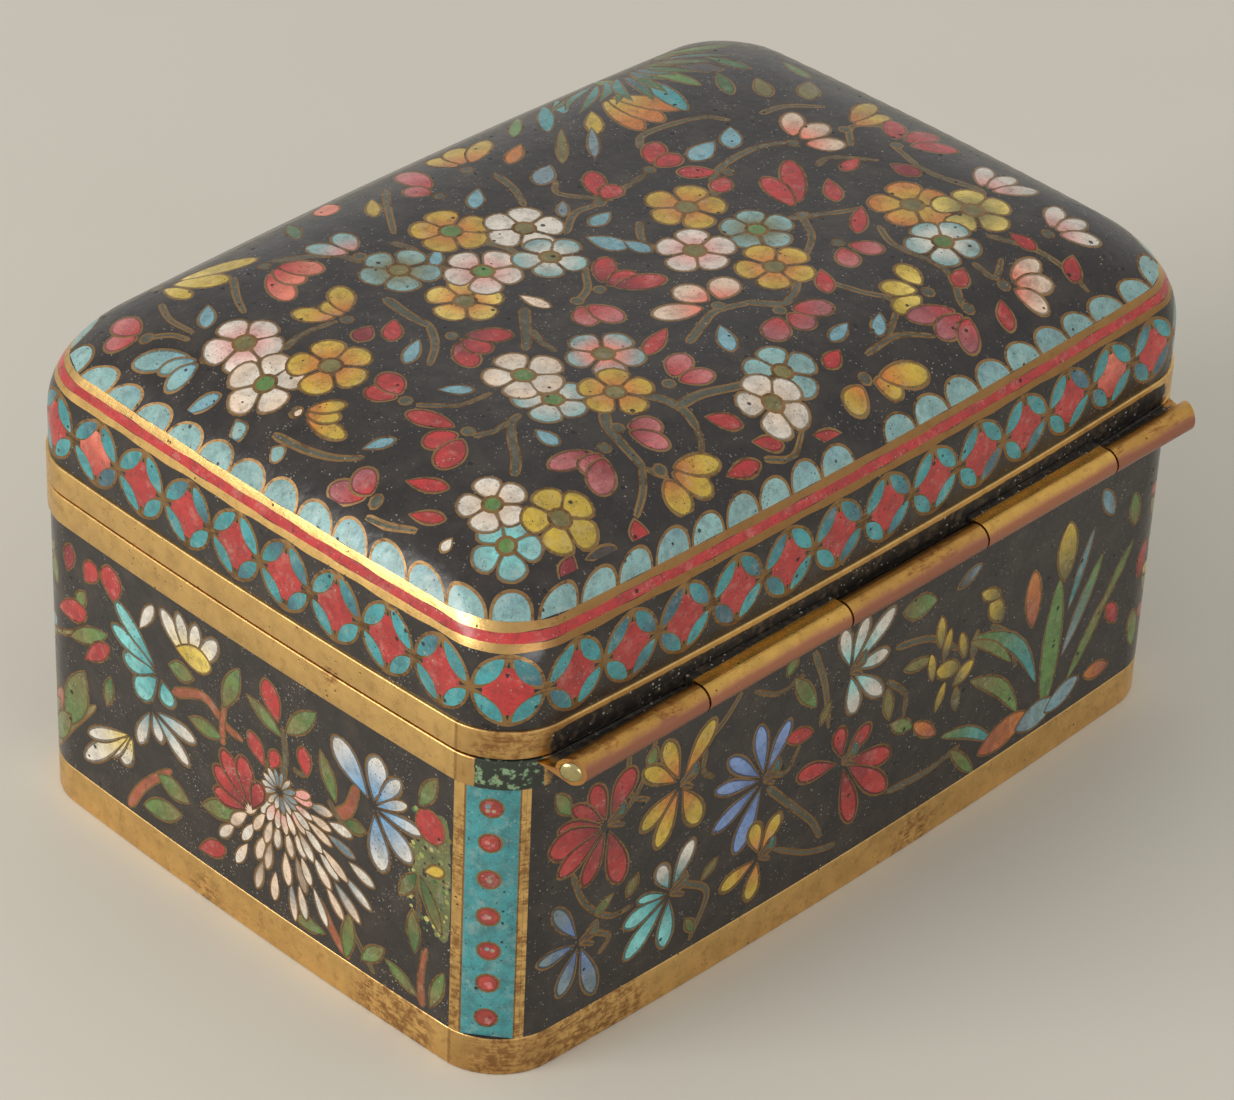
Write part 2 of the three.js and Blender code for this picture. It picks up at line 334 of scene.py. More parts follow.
# where the marks on the metal start and end, in millimetres
JOINT_X, JOINT_SEAM, BEYOND_JOINT = (38.0, 39.0), (0.3, 0.06), 0.3
# the span of the painted shade on the gilt lines of the lid's +Y side
SHADE_SIDE_Y, SHADE_SIDE_Z = (26.5, 31.5), (37.0, 40.0)
# the span of the painted shade with dirt under the hinge
DIRT_SHADE_X, DIRT_SHADE_Z = (44.5, 38.0), (37.95, 37.4)
VERDIGRIS_X, VERDIGRIS_Y, VERDIGRIS_Z = (40.8, 41.6), (27.4, 28.1), (35.2, 35.1)
# where the painted shade with dirt lies on the hinge's leaf and on the rims' +Y side
LEAF_SHADE_EDGE = 33.9
HINGE_SHADE_AND_DIRT = ((20.0, 21.0), (LEAF_SHADE_EDGE + 0.4, LEAF_SHADE_EDGE - 0.4))
RIM_SHADE_AND_DIRT = ((31.2, 31.9), (60.0, 50.0))
METAL_RELIEF = 0.035


def metal(name, bright, dull, wear, rough, patches=(), painted_reflection_below=None, joint=None, painted_shade_side=False, dirt_and_shade=None,
          verdigris=False):
    """Gilding with one part's marks: joint tarnish, copper salts, dirt, painted shade and painted reflection.
    """
    n, colour, rough, height = gilt_material(name, bright, dull, wear, *rough, patches)
    metallic = 1.0
    x, y, z = n.split(n.mm)
    if painted_reflection_below:
        # painted reflection: faces of the barrel that turn down or sideways take a coppery tone, while its
        # top and its ends keep the gold
        normal = n.split(n.node("NewGeometry").outputs["Normal"])
        endways = n.times(n.math("ABSOLUTE", normal[0]), 0.75)
        tilt = n.plus(normal[2], n.times(n.noise(0.3, 3), 0.5), endways)
        colour = n.mix(n.step(tilt, 0.55, 1.1), painted_reflection_below, colour)
    if joint:
        # the band is soldered near this corner, and duller beyond the joint
        seam = n.times(n.step(n.math("ABSOLUTE", n.math("SUBTRACT", y, joint)), *JOINT_SEAM), 0.6)
        beyond = n.times(n.step(y, joint, joint + BEYOND_JOINT), 0.32)
        colour = n.mix(n.times(n.step(x, *JOINT_X), n.math("MAXIMUM", seam, beyond)), colour, dull)
    if painted_shade_side:
        # painted shade: the gilt lines on the lid's +Y side, above its rim, are browned as if in shade, and
        # made a little rougher
        shaded_side = n.times(n.step(y, *SHADE_SIDE_Y), n.step(z, *SHADE_SIDE_Z))
        colour = n.mix(n.times(shaded_side, 0.75), colour, dull)
        rough = n.plus(rough, n.times(shaded_side, 0.1))
    if dirt_and_shade:
        # painted shade with dirt: the side under the hinge is painted black and non-metal, with pale specks,
        # as the shade of the knuckles over that span and as dirt
        span = n.times(n.step(y, *dirt_and_shade[0]), n.step(y, *dirt_and_shade[1]), n.step(z, *DIRT_SHADE_Z),
                       n.step(n.math("ABSOLUTE", x), *DIRT_SHADE_X))
        share = n.step(n.plus(n.times(n.noise(0.9, 5, 0.65), 0.7), span), 0.8, 1.02)
        soil_and_shade = n.mix(n.step(n.noise(1.4, 5), 0.45, 0.7), srgb(34, 30, 27), srgb(78, 66, 52))
        soil_and_shade = n.tinted(soil_and_shade, (n.spots(2.6, 0.4), 0.8, srgb(172, 168, 158)))
        colour = n.mix(share, colour, soil_and_shade)
        rough = n.math("MAXIMUM", rough, n.times(share, 0.5))
        metallic = n.math("SUBTRACT", 1.0, share)
    if verdigris:
        # copper salts along one corner of the box rim, below the height of the joint between rims
        corner = n.times(n.step(x, *VERDIGRIS_X), n.step(y, *VERDIGRIS_Y), n.step(z, *VERDIGRIS_Z))
        share = n.step(n.plus(corner, n.times(n.noise(0.9, 4), 0.5)), 1.06, 1.18)
        crust = n.mix(n.step(n.noise(1.5, 4), 0.52, 0.62), srgb(38, 44, 34), srgb(122, 150, 112))
        colour = n.mix(share, colour, crust)
        rough = n.math("MAXIMUM", rough, n.times(share, 0.6))
        metallic = n.times(metallic, n.math("SUBTRACT", 1.0, share))
    return n.finish(colour, rough, height, METAL_RELIEF, metallic)


def counter_material():
    """Plain turquoise enamel of the inside and the underside, with holes and darker clouds."""
    n = Nodes("counter_enamel")
    holes = n.spots(1.2, 0.2)
    colour = n.mix(n.step(n.noise(0.22, 5), 0.3, 0.75), srgb(58, 140, 146), srgb(94, 172, 170))
    colour = n.tinted(colour, (holes, 0.85, srgb(30, 36, 38)),
                      (n.step(n.noise(0.12, 4), 0.6, 0.7), 0.35, srgb(58, 70, 62)))
    rough = n.plus(n.times(n.noise(0.9, 4), 0.3), 0.14)
    height = n.math("SUBTRACT", n.times(n.noise(0.5, 3), 1.5), holes)
    return n.finish(colour, rough, height, 0.06)


GOLD, BROWN = srgb(236, 194, 124), srgb(136, 92, 56)
# worn patches: centre, reach and softness of the edge
FOOT_PATCHES = (((35.0, 32.6, 1.6), 8.0, 2.0), ((43.5, 30.5, 1.6), 4.2, 1.6), ((46.5, 19.0, 1.6), 6.0, 2.0),
                ((-8.0, 32.5, 1.2), 4.0, 2.4), ((46.5, -6.0, 0.6), 3.0, 1.6))
RIM_PATCHES = (((41.5, 31.0, 34.0), 2.2, 0.8), ((46.6, 11.0, 35.0), 1.4, 0.6),
               ((45.3, 28.4, 36.0), 1.4, 0.5), ((43.9, 30.4, 36.8), 3.4, 1.2))
STRIP_PATCHES = (((44.5, 30.0, 10.0), 8.5, 2.0), ((44.5, 30.0, 24.0), 7.0, 2.0))
MATERIALS = {
    "enamel": enamel_material(),
    "wire": metal("cell_wire", srgb(164, 130, 88), srgb(98, 74, 54), 0.46, (0.3, 0.48)),
    # the lid's gilt lines have painted shade on their +Y side
    "line": metal("gilt_line", GOLD, BROWN, 0.6, (0.2, 0.38), STRIP_PATCHES, painted_shade_side=True),
    "foot": metal("gilt_foot", GOLD, BROWN, 0.62, (0.28, 0.46), FOOT_PATCHES, joint=26.0),
    # the rims have painted shade with dirt under the hinge, and copper salts at one corner
    "rim": metal("gilt_rim", GOLD, BROWN, 0.64, (0.24, 0.42), RIM_PATCHES, joint=26.2, dirt_and_shade=RIM_SHADE_AND_DIRT,
                 verdigris=True),
    # the hinge's knuckles have a painted coppery reflection on their undersides, and painted shade with dirt
    # on the leaf behind the barrel
    "hinge": metal("gilt_hinge", srgb(214, 164, 88), srgb(140, 86, 54), 0.5, (0.22, 0.38),
                   painted_reflection_below=srgb(172, 116, 94), dirt_and_shade=HINGE_SHADE_AND_DIRT),
    "lid_hinge": metal("gilt_lid_hinge", srgb(232, 184, 98), srgb(148, 98, 56), 0.56, (0.18, 0.34),
                       painted_reflection_below=srgb(184, 124, 98), dirt_and_shade=HINGE_SHADE_AND_DIRT),
    "pin": metal("pin_metal", srgb(196, 182, 130), srgb(112, 96, 58), 0.55, (0.16, 0.3)),
    "counter": counter_material(),
}


# cells: the number of a kind is its place in CELL_MATERIALS
ENAMEL, WIRE, LINE = 0, 1, 2
CELL_MATERIALS = ("enamel", "wire", "line")


class Patch:
    """A stretch of surface cut into flush cells, each laid over those before it."""

    def __init__(self, place, border, seeds):
        self.place, self.seeds = place, seeds
        self.polygons, self.kinds, self.paints = [], [], []
        self.lay(border, "ground")

    def lay(self, polygon, tone, kind=ENAMEL, tip=None, root=(0, 0), end=(1, 0), shade=1.0):
        """Adds a cell, in one tone or in one that turns into another from its root to its end."""
        polygon = np.asarray(polygon, float)
        x, y = polygon[:, 0], polygon[:, 1]
        if (x * np.roll(y, -1) - y * np.roll(x, -1)).sum() < 0:
            polygon = polygon[::-1]
        first = np.array(COLOURS[tone]) * rng.uniform(0.88, 1.1)
        last = np.array(COLOURS[tip]) * rng.uniform(0.9, 1.08) if tip else first
        self.polygons.append(polygon)
        self.kinds.append(kind)
        self.paints.append((first * shade, last * shade, root, end))

    def build(self):
        """Points, normals, triangles, the kind of each triangle and the colour of each corner."""
        points, faces = [], []
        for polygon in self.polygons:
            faces.append(list(range(len(points), len(points) + len(polygon))))
            points.extend(polygon.tolist())
        points.extend(self.seeds.tolist())
        cut = delaunay_2d_cdt([Vector(p) for p in points], [], faces, 1, 1e-4, True)
        flat = np.array([tuple(v) for v in cut[0]])
        made, origins = cut[2], cut[5]
        inside = [k for k, ids in enumerate(origins) if 0 in ids]
        top = np.array([max(origins[k]) for k in inside])
        triangles = np.array([made[k] for k in inside])
        first, last, root, end = (np.array([p[i] for p in self.paints], float) for i in range(4))
        owner = np.repeat(top, 3)
        corner = flat[triangles.ravel()]
        axis = (end - root)[owner]
        share = ((corner - root[owner]) * axis).sum(1) / np.maximum((axis ** 2).sum(1), 1e-9)
        share = np.clip(share, 0, 1)[:, None]
        share = share * share * (3 - 2 * share)
        colour = first[owner] * (1 - share) + last[owner] * share
        return self.place(flat), normals_of(self.place, flat), triangles, np.array(self.kinds)[top], colour


def mesh_object(name, points, faces, materials, kinds=None, colour=None, normals=None):
    mesh = bpy.data.meshes.new(name)
    mesh.from_pydata((points * MM).tolist(), [], faces)
    for material in materials:
        mesh.materials.append(MATERIALS[material])
    mesh.polygons.foreach_set("use_smooth", [True] * len(mesh.polygons))
    if kinds is not None:
        mesh.polygons.foreach_set("material_index", np.asarray(kinds, np.int32))
        layer = mesh.color_attributes.new("cell", "FLOAT_COLOR", "CORNER")
        layer.data.foreach_set("color", np.column_stack([colour, np.ones(len(colour))]).ravel())
    mesh.update()
    if normals is not None:
        mesh.normals_split_custom_set_from_vertices(normals.tolist())
    made = bpy.data.objects.new(name, mesh)
    bpy.context.scene.collection.objects.link(made)
    return made


def fixed(made, body, slot, *nodes):
    """Lets a piece ride a body and stand for nodes of the CAD."""
    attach(made, body)
    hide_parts(*nodes)


def joined(name, *patches):
    """One piece out of patches of cells."""
    built = [patch.build() for patch in patches]
    starts = np.cumsum([0] + [len(part[0]) for part in built])
    triangles = np.concatenate([part[2] + start for part, start in zip(built, starts)])
    points, normals, _, kinds, colours = map(np.concatenate, zip(*built))
    return mesh_object(name, points, triangles.tolist(), CELL_MATERIALS, kinds, colours, normals)


# motifs
WIRE_WIDTH = 0.2
# only petals wider and longer than this have a dim rim inside their wire
RIMMED_WIDTH, RIMMED_LENGTH = 1.2, 1.8
BLOSSOM_PETALS, PETAL_SHARE, HEART_SHARE, HEART_WIRE = 5, 0.84, 0.27, 0.34
STEM_TAPER = 0.7


def petal_shape(root, tip, width, grow, fat=1.35, blunt=0.62, steps=9, curl=0.0):
    """A rounded outline from root to tip, grown all round; fat moves its widest place tipwards."""
    root, tip = np.array(root, float), np.array(tip, float)
    axis = tip - root
    length = np.hypot(*axis)
    axis = axis / max(length, 1e-6)
    side = np.array([-axis[1], axis[0]])
    u = (1 - np.cos(np.linspace(0, math.pi, steps + 1))) / 2
    half = (width / 2 + grow) * np.clip(np.sin(math.pi * u ** fat), 0, 1) ** blunt
    along = -grow + u * (length + 2 * grow)
    bend = curl * np.sin(math.pi * u)
    left = root + along[:, None] * axis + (half + bend)[:, None] * side
    right = root + along[:, None] * axis + (bend - half)[:, None] * side
    return np.concatenate([right, left[-2:0:-1]])


def petal(patch, root, tip, width, tone, tip_tone=None, reach=1.0, gap=0.24, dim=0.4, **shape):
    """A wired petal that turns from one tone to another over a share (reach) of its length."""
    root, tip = np.array(root, float), np.array(tip, float)
    wire = WIRE_WIDTH
    patch.lay(petal_shape(root, tip, width, wire / 2, **shape), "ground", WIRE)
    end = root + (tip - root) * reach
    if width > RIMMED_WIDTH and np.hypot(*(tip - root)) > RIMMED_LENGTH:
        patch.lay(petal_shape(root, tip, width, -wire / 2, **shape), tone, ENAMEL, tip_tone, root, end, dim)
        wire += gap
    patch.lay(petal_shape(root, tip, width, -wire / 2, **shape), tone, ENAMEL, tip_tone, root, end)


def disc(patch, centre, radius, tone, wire=WIRE_WIDTH, steps=14):
    angle = np.linspace(0, 2 * math.pi, steps, endpoint=False)
    for reach, paint, kind in ((radius + wire / 2, "ground", WIRE), (radius - wire / 2, tone, ENAMEL)):
        circle = np.column_stack([centre[0] + reach * np.cos(angle), centre[1] + reach * np.sin(angle)])
        patch.lay(circle, paint, kind)


def blossom(patch, centre, radius, tone, tip_tone, heart, turn):
    """Round petals that touch each other, round a ringed heart."""
    centre = np.array(centre)
    for k in range(BLOSSOM_PETALS):
        angle = turn + k * 2 * math.pi / BLOSSOM_PETALS + rng.uniform(-0.07, 0.07)
        reach = radius * rng.uniform(0.94, 1.05)
        out = np.array([math.cos(angle), math.sin(angle)])
        petal(patch, centre + out * radius * 0.1, centre + out * reach,
              radius * PETAL_SHARE * rng.uniform(0.95, 1.05), tone, tip_tone, fat=1.7, blunt=0.56)
    disc(patch, centre, radius * HEART_SHARE, heart, HEART_WIRE)


def fan(patch, base, tips, tone, tip_tone, start=0.12, fat=1.65, blunt=0.55, reach=0.8, gap=0.46, dim=0.24):
    """A half-open flower: petals that spread from one base point to their tips (x, y, width)."""
    base = np.array(base, float)
    for x, y, width in tips:
        out = np.array((x, y), float) - base
        petal(patch, base + out * start, base + out, width, tone, tip_tone, reach=reach, gap=gap, dim=dim,
              fat=fat, blunt=blunt)


def bud(patch, centre, angle, length, width, tone, tip_tone=None, **shape):
    out = np.array([math.cos(math.radians(angle)), math.sin(math.radians(angle))]) * length / 2
    petal(patch, np.array(centre) - out, np.array(centre) + out, width, tone, tip_tone, **shape)


def leaf(patch, centre, angle, length, width, tone, tip_tone):
    bud(patch, centre, angle, length, width, tone, tip_tone, fat=1.0, blunt=0.85)


def smooth_path(points, steps=6):
    """A curve through the points, as a Catmull-Rom spline."""
    points = np.asarray(points, float)
    padded = np.vstack([2 * points[0] - points[1], points, 2 * points[-1] - points[-2]])
    made = []
    for k in range(len(points) - 1):
        a, b, c, d = padded[k:k + 4]
        for t in np.linspace(0, 1, steps, endpoint=False):
            made.append(0.5 * (2 * b + (c - a) * t + (2 * a - 5 * b + 4 * c - d) * t * t
                               + (3 * b - a - 3 * c + d) * t ** 3))
    made.append(points[-1])
    return np.array(made)


def stem(patch, points, width, tone):
    """A wired stem with round ends that narrows along its path."""
    path = smooth_path(points)
    along = np.gradient(path, axis=0)
    along /= np.maximum(np.linalg.norm(along, axis=1, keepdims=True), 1e-9)
    side = np.column_stack([-along[:, 1], along[:, 0]])
    widths = np.linspace(width, width * STEM_TAPER, len(path))[:, None]
    length = np.concatenate([[0], np.cumsum(np.hypot(*np.diff(path, axis=0).T))])
    from_end = np.minimum(length, length[-1] - length)[:, None]
    for grow, kind, name in ((WIRE_WIDTH / 2, WIRE, "ground"), (-WIRE_WIDTH / 2, ENAMEL, tone)):
        rounded = np.sqrt(1 - (1 - np.clip((from_end + grow) / width, 0.02, 1)) ** 2)
        half = np.maximum((widths / 2 + grow) * rounded, 0.03)
        patch.lay(np.concatenate([path - side * half, (path + side * half)[::-1]]), name, kind)


# lid side: shippo row, lines and scallops
SIDE_TOP = 12.7
UNITS = 47
UNIT_PITCH, UNIT_PHASE = 4 * QUARTER / UNITS, -1.5
SHIPPO_LOW, SHIPPO_MIDDLE, SHIPPO_HIGH = 0.5, 4.0, 7.5
LINE_FOOT, STRIPE_FOOT, STRIPE_TOP, SCALLOP_FOOT = 7.55, 8.3, 9.2, 10.0
SCALLOP_PITCH, SCALLOP_GAP = 4.35, 0.2
UNIT_WIRE, UNIT_LEAF, LEAF_CUT = 1.94, (1.36, 1.5), 0.13
DIAMOND_PULL, DIAMOND_REACH = 0.66, (0.22, 0.78)
BAND_STEP, BAND_FADE = 0.9, 4
EDGE_COUNT = 520


def band(low, high, waver=0.0):
    """A line all along the lid's side, with edges that waver by a little."""
    s = np.linspace(-CUT, CUT, int(2 * CUT / BAND_STEP))
    wave = waver * (np.sin(s * 0.61) + 0.6 * np.sin(s * 1.37 + 1.1))
    fade = np.clip((CUT - np.abs(s)) / BAND_FADE, 0, 1)
    low_edge = np.column_stack([s, low + wave * fade])
    high_edge = np.column_stack([s, high + wave[::-1] * fade])
    return np.concatenate([low_edge, high_edge[::-1]])


def side_seeds(low, high, step_up, flat_step, arc_step):
    """Extra points for the triangles to follow the surface, closer together round the corners."""
    stations = []
    for quarter in range(-2, 2):
        for (a, b), step in zip(SPANS, (flat_step, arc_step, flat_step)):
            local = np.linspace(a, b, max(2, int((b - a) / step)), endpoint=False)
            placed = (quarter + 1) * QUARTER - local if quarter % 2 else quarter * QUARTER + local
            stations.extend(placed.tolist())
    stations = sorted(s for s in set(round(s, 3) for s in stations) if -CUT + 0.5 < s < CUT - 0.5)
    heights = np.arange(low + step_up / 2, high - step_up / 4, step_up)
    return np.array([(s, h) for s in stations for h in heights])


def edge_loop(level):
    return np.column_stack([np.linspace(-CUT, CUT, EDGE_COUNT), np.full(EDGE_COUNT, level)])


def strip_border(low, high):
    return np.concatenate([edge_loop(low), edge_loop(high)[::-1]])


lid_side = Patch(on_lid_side, strip_border(0.0, SIDE_TOP), side_seeds(0, SIDE_TOP, 0.75, 2.0, 0.7))


def shippo(patch, s):
    """One unit of the row: a concave red diamond in four leaves that meet at its corners."""
    half = UNIT_PITCH / 2
    nodes = np.array([(s - half, SHIPPO_MIDDLE), (s, SHIPPO_HIGH),
                      (s + half, SHIPPO_MIDDLE), (s, SHIPPO_LOW)])
    sides = list(zip(nodes, np.roll(nodes, -1, axis=0)))
    for a, b in sides:
        patch.lay(petal_shape(a, b, UNIT_WIRE, 0.04, fat=1.0, blunt=0.8, steps=10), "ground", WIRE)
    shape = []
    t = np.linspace(*DIAMOND_REACH, 6)[:, None]
    for a, b in sides:
        pull = np.array([s, SHIPPO_MIDDLE]) * DIAMOND_PULL + (a + b) / 2 * (1 - DIAMOND_PULL)
        shape.append((1 - t) ** 2 * a + 2 * t * (1 - t) * pull + t * t * b)
    patch.lay(np.concatenate(shape), "red", ENAMEL, "coral" if rng.random() < 0.1 else None,
              (s, SHIPPO_LOW), (s, SHIPPO_HIGH))
    for a, b in sides:
        tone = "slate_blue" if rng.random() < 0.08 else "turquoise"
        cut = (b - a) * LEAF_CUT
        slim = petal_shape(a + cut, b - cut, rng.uniform(*UNIT_LEAF), 0.0, fat=1.0, blunt=0.7, steps=10)
        patch.lay(slim, tone, ENAMEL, rng.choice((None, None, "slate_blue")), a, b)


for k in range(UNITS):
    s = UNIT_PHASE + k * UNIT_PITCH
    s = s - 2 * CUT if s > CUT else s
    shippo(lid_side, s)
    if abs(s) > CUT - UNIT_PITCH / 2:
        shippo(lid_side, s - math.copysign(2 * CUT, s))
lid_side.lay(band(LINE_FOOT, STRIPE_FOOT, 0.06), "ground", LINE)
lid_side.lay(band(STRIPE_FOOT, STRIPE_TOP), "red")
lid_side.lay(band(STRIPE_TOP, SCALLOP_FOOT, 0.05), "ground", LINE)

# start and end of each scallop that the photo shows; those in the hidden spans are even
SCALLOPS_SEEN = (
    (-29.9, -26.6), (-26.3, -22.3), (-22.2, -18.2), (-17.8, -13.5), (-13.2, -8.8), (-8.7, -4.4), (-4.3, 0.3),
    (0.4, 4.9), (5.2, 9.7), (9.9, 14.4), (14.8, 19.6), (19.7, 24.6), (24.7, 28.6), (28.8, 32.2),
    (32.6, 36.6), (36.9, 41.3), (41.4, 45.6), (46.0, 50.3), (50.5, 54.6), (54.9, 59.1), (59.2, 63.2),
    (63.4, 67.3), (67.4, 71.7), (76.0, 80.2), (80.4, 84.9), (85.0, 89.4), (89.5, 94.0), (94.1, 98.5),
    (98.6, 102.7), (102.8, 106.8), (106.9, 111.4),
)
HIDDEN_SPANS = ((111.8, CUT - 0.4), (-CUT + 0.4, -30.2))
scallops = list(SCALLOPS_SEEN)
for start, end in HIDDEN_SPANS:
    count = round((end - start) / SCALLOP_PITCH)
    width, gap = (end - start) / count, SCALLOP_GAP / 2
    scallops += [(start + k * width + gap, start + (k + 1) * width - gap) for k in range(count)]


def scallop(patch, s0, s1, rise):
    middle, half = (s0 + s1) / 2, (s1 - s0) / 2
    angle = np.linspace(0, math.pi, 15)
    tip_tone = "sky" if rng.random() < 0.3 else None
    for grow, kind, tone, tip in ((-0.06, WIRE, "ground", None), (0.22, ENAMEL, "pale_blue", tip_tone)):
        x = middle + (half - grow) * np.cos(angle)
        y = SCALLOP_FOOT + (rise - grow) * np.abs(np.sin(angle)) ** 0.8
        patch.lay(np.column_stack([x, y]), tone, kind, tip, (middle, SCALLOP_FOOT),
                  (middle, SCALLOP_FOOT + rise * 1.4))


for s0, s1 in scallops:
    scallop(lid_side, s0, s1, rng.uniform(2.1, 2.4))

# lid top: seeds in staggered rows, away from its edge
SEED_SPACING, ROW_SHARE, SEED_INSET = 1.3, 0.87, 3.9
rows = enumerate(np.arange(-30, 30, SEED_SPACING * ROW_SHARE))
grid = np.array([(x + (row % 2) * SEED_SPACING / 2, y)
                 for row, y in rows for x in np.arange(-45, 45, SEED_SPACING)])
q = np.abs(grid) - [HALF_LENGTH - SEED_INSET - CORNER, HALF_WIDTH - SEED_INSET - CORNER]
grid = grid[np.hypot(np.maximum(q[:, 0], 0), np.maximum(q[:, 1], 0)) + np.minimum(q.max(1), 0) < CORNER]
lid_top = Patch(on_lid_top, on_lid_side(edge_loop(SIDE_TOP)[:-1])[:, :2], grid)

# each stem of the lid: its points and its width
BRANCHES = (
    (((33.2, 19), (31.6, 17.6), (29.8, 15.2), (28.2, 13.6), (26.8, 13.2)), 1.0),
    (((32.1, 12.8), (30.3, 13.5), (28.4, 13.4)), 0.7),
    (((32.4, 6), (31, 7.6), (29.6, 8.8), (26.4, 9.2)), 0.6),
    (((41.8, -2), (41.5, 2), (40.8, 5), (39.6, 7.2)), 0.7), (((43.3, 11.4), (43, 13.8), (42.2, 16.6)), 0.6),
    (((21, 17.6), (22.3, 19.4), (22.9, 22), (23.2, 24.8)), 1.2),
    (((23.3, 24.6), (25, 26.4), (27.2, 27.8)), 0.7), (((23, 24.8), (22.6, 25.6), (21.8, 26.4)), 0.6),
    (((14.4, 1), (16.2, 3), (18, 5), (19.4, 6.2)), 1.2), (((16.6, 4.2), (17.3, 6.2), (17.5, 8.2)), 0.8),
    (((22.6, -8.5), (23, -5), (22.8, -2)), 1.3), (((22.8, -2.4), (24.6, 0.2), (27.4, 2.4)), 0.9),
    (((16.8, 17.8), (15.6, 19.6), (15.2, 21.8), (15.8, 24)), 1.2),
    (((15.8, 23.8), (16.4, 25), (17.4, 26)), 0.6), (((15.4, 21), (12.4, 21), (9, 22), (6.4, 22.6)), 1.2),
    (((7.8, 15), (4.8, 13.8), (2, 12.9), (-1.4, 14)), 1.0),
    (((-1, 13.6), (-3.4, 16), (-5.6, 15.4), (-7.4, 14.2)), 1.0),
    (((12.2, 28.7), (9.4, 29.5), (6.8, 28.2)), 0.5), (((8.4, -23.6), (11.4, -20), (14.4, -16)), 0.8),
    (((-0.2, -18), (0.6, -14.4), (2, -11.6)), 0.9), (((36.2, -23.3), (37.6, -20.4), (37.8, -17)), 0.6),
    (((29.6, -21), (31.8, -18), (33.2, -15.4)), 0.8), (((25.6, -20.6), (21, -17), (20, -14.2)), 0.9),
    (((15.6, -15), (15, -12.6), (15.8, -9.4), (14.6, -8.6)), 0.8),
    (((9.4, -9.6), (8.4, -7.2), (8.8, -4.6)), 0.8), (((10.4, 3.6), (8, 2.6), (6.4, 0.8), (4.2, -1.8)), 0.8),
    (((2.6, -5.6), (-0.6, -7.6), (-4, -7.4), (-11.4, -8.4)), 0.8),
    (((-4, -2.6), (-2, -0.4), (-1.6, 1.8)), 0.8),
    (((-12.4, -1), (-16, -4.2), (-22, -4.8), (-25.6, -3)), 0.9), (((-14.4, 6), (-18, 8), (-21.4, 9.6)), 0.8),
    (((-16, 6.6), (-14, 9.8), (-11, 11.8)), 0.8), (((-8.6, 14.6), (-10.4, 19), (-12, 22), (-8, 24.8)), 0.7),
    (((-4.6, 25.2), (-9, 25), (-12.4, 26.6)), 0.6),
    (((-17.4, 25.4), (-19.6, 21.4), (-18.6, 16), (-20, 12.6)), 0.8),
    (((-22.6, 22), (-23, 24.4), (-25.6, 23)), 0.7), (((-26.8, 20), (-29.6, 24), (-31.4, 29)), 0.7),
    (((-32.6, 14.6), (-31, 9), (-32.4, 3)), 0.8), (((-23.8, 1.4), (-26, 1.2), (-29, 4.6)), 0.7),
    (((-29, 1), (-32, -1.6), (-35.2, 0.4)), 0.7), (((34.6, -8.6), (32, -9), (28.4, -8.4)), 0.7),
    (((-13.6, -12), (-16, -13.6), (-22, -12.4), (-24, -10)), 0.8), (((-5, -7), (-2, -11), (-3.4, -13)), 0.7),
    (((-27, -9), (-30, -8.4), (-33, -6)), 0.8), (((40.2, -20.4), (39, -18.6), (38.6, -16.6)), 0.6),
)
for points, width in BRANCHES:
    stem(lid_top, points, width * 0.85, "bark")

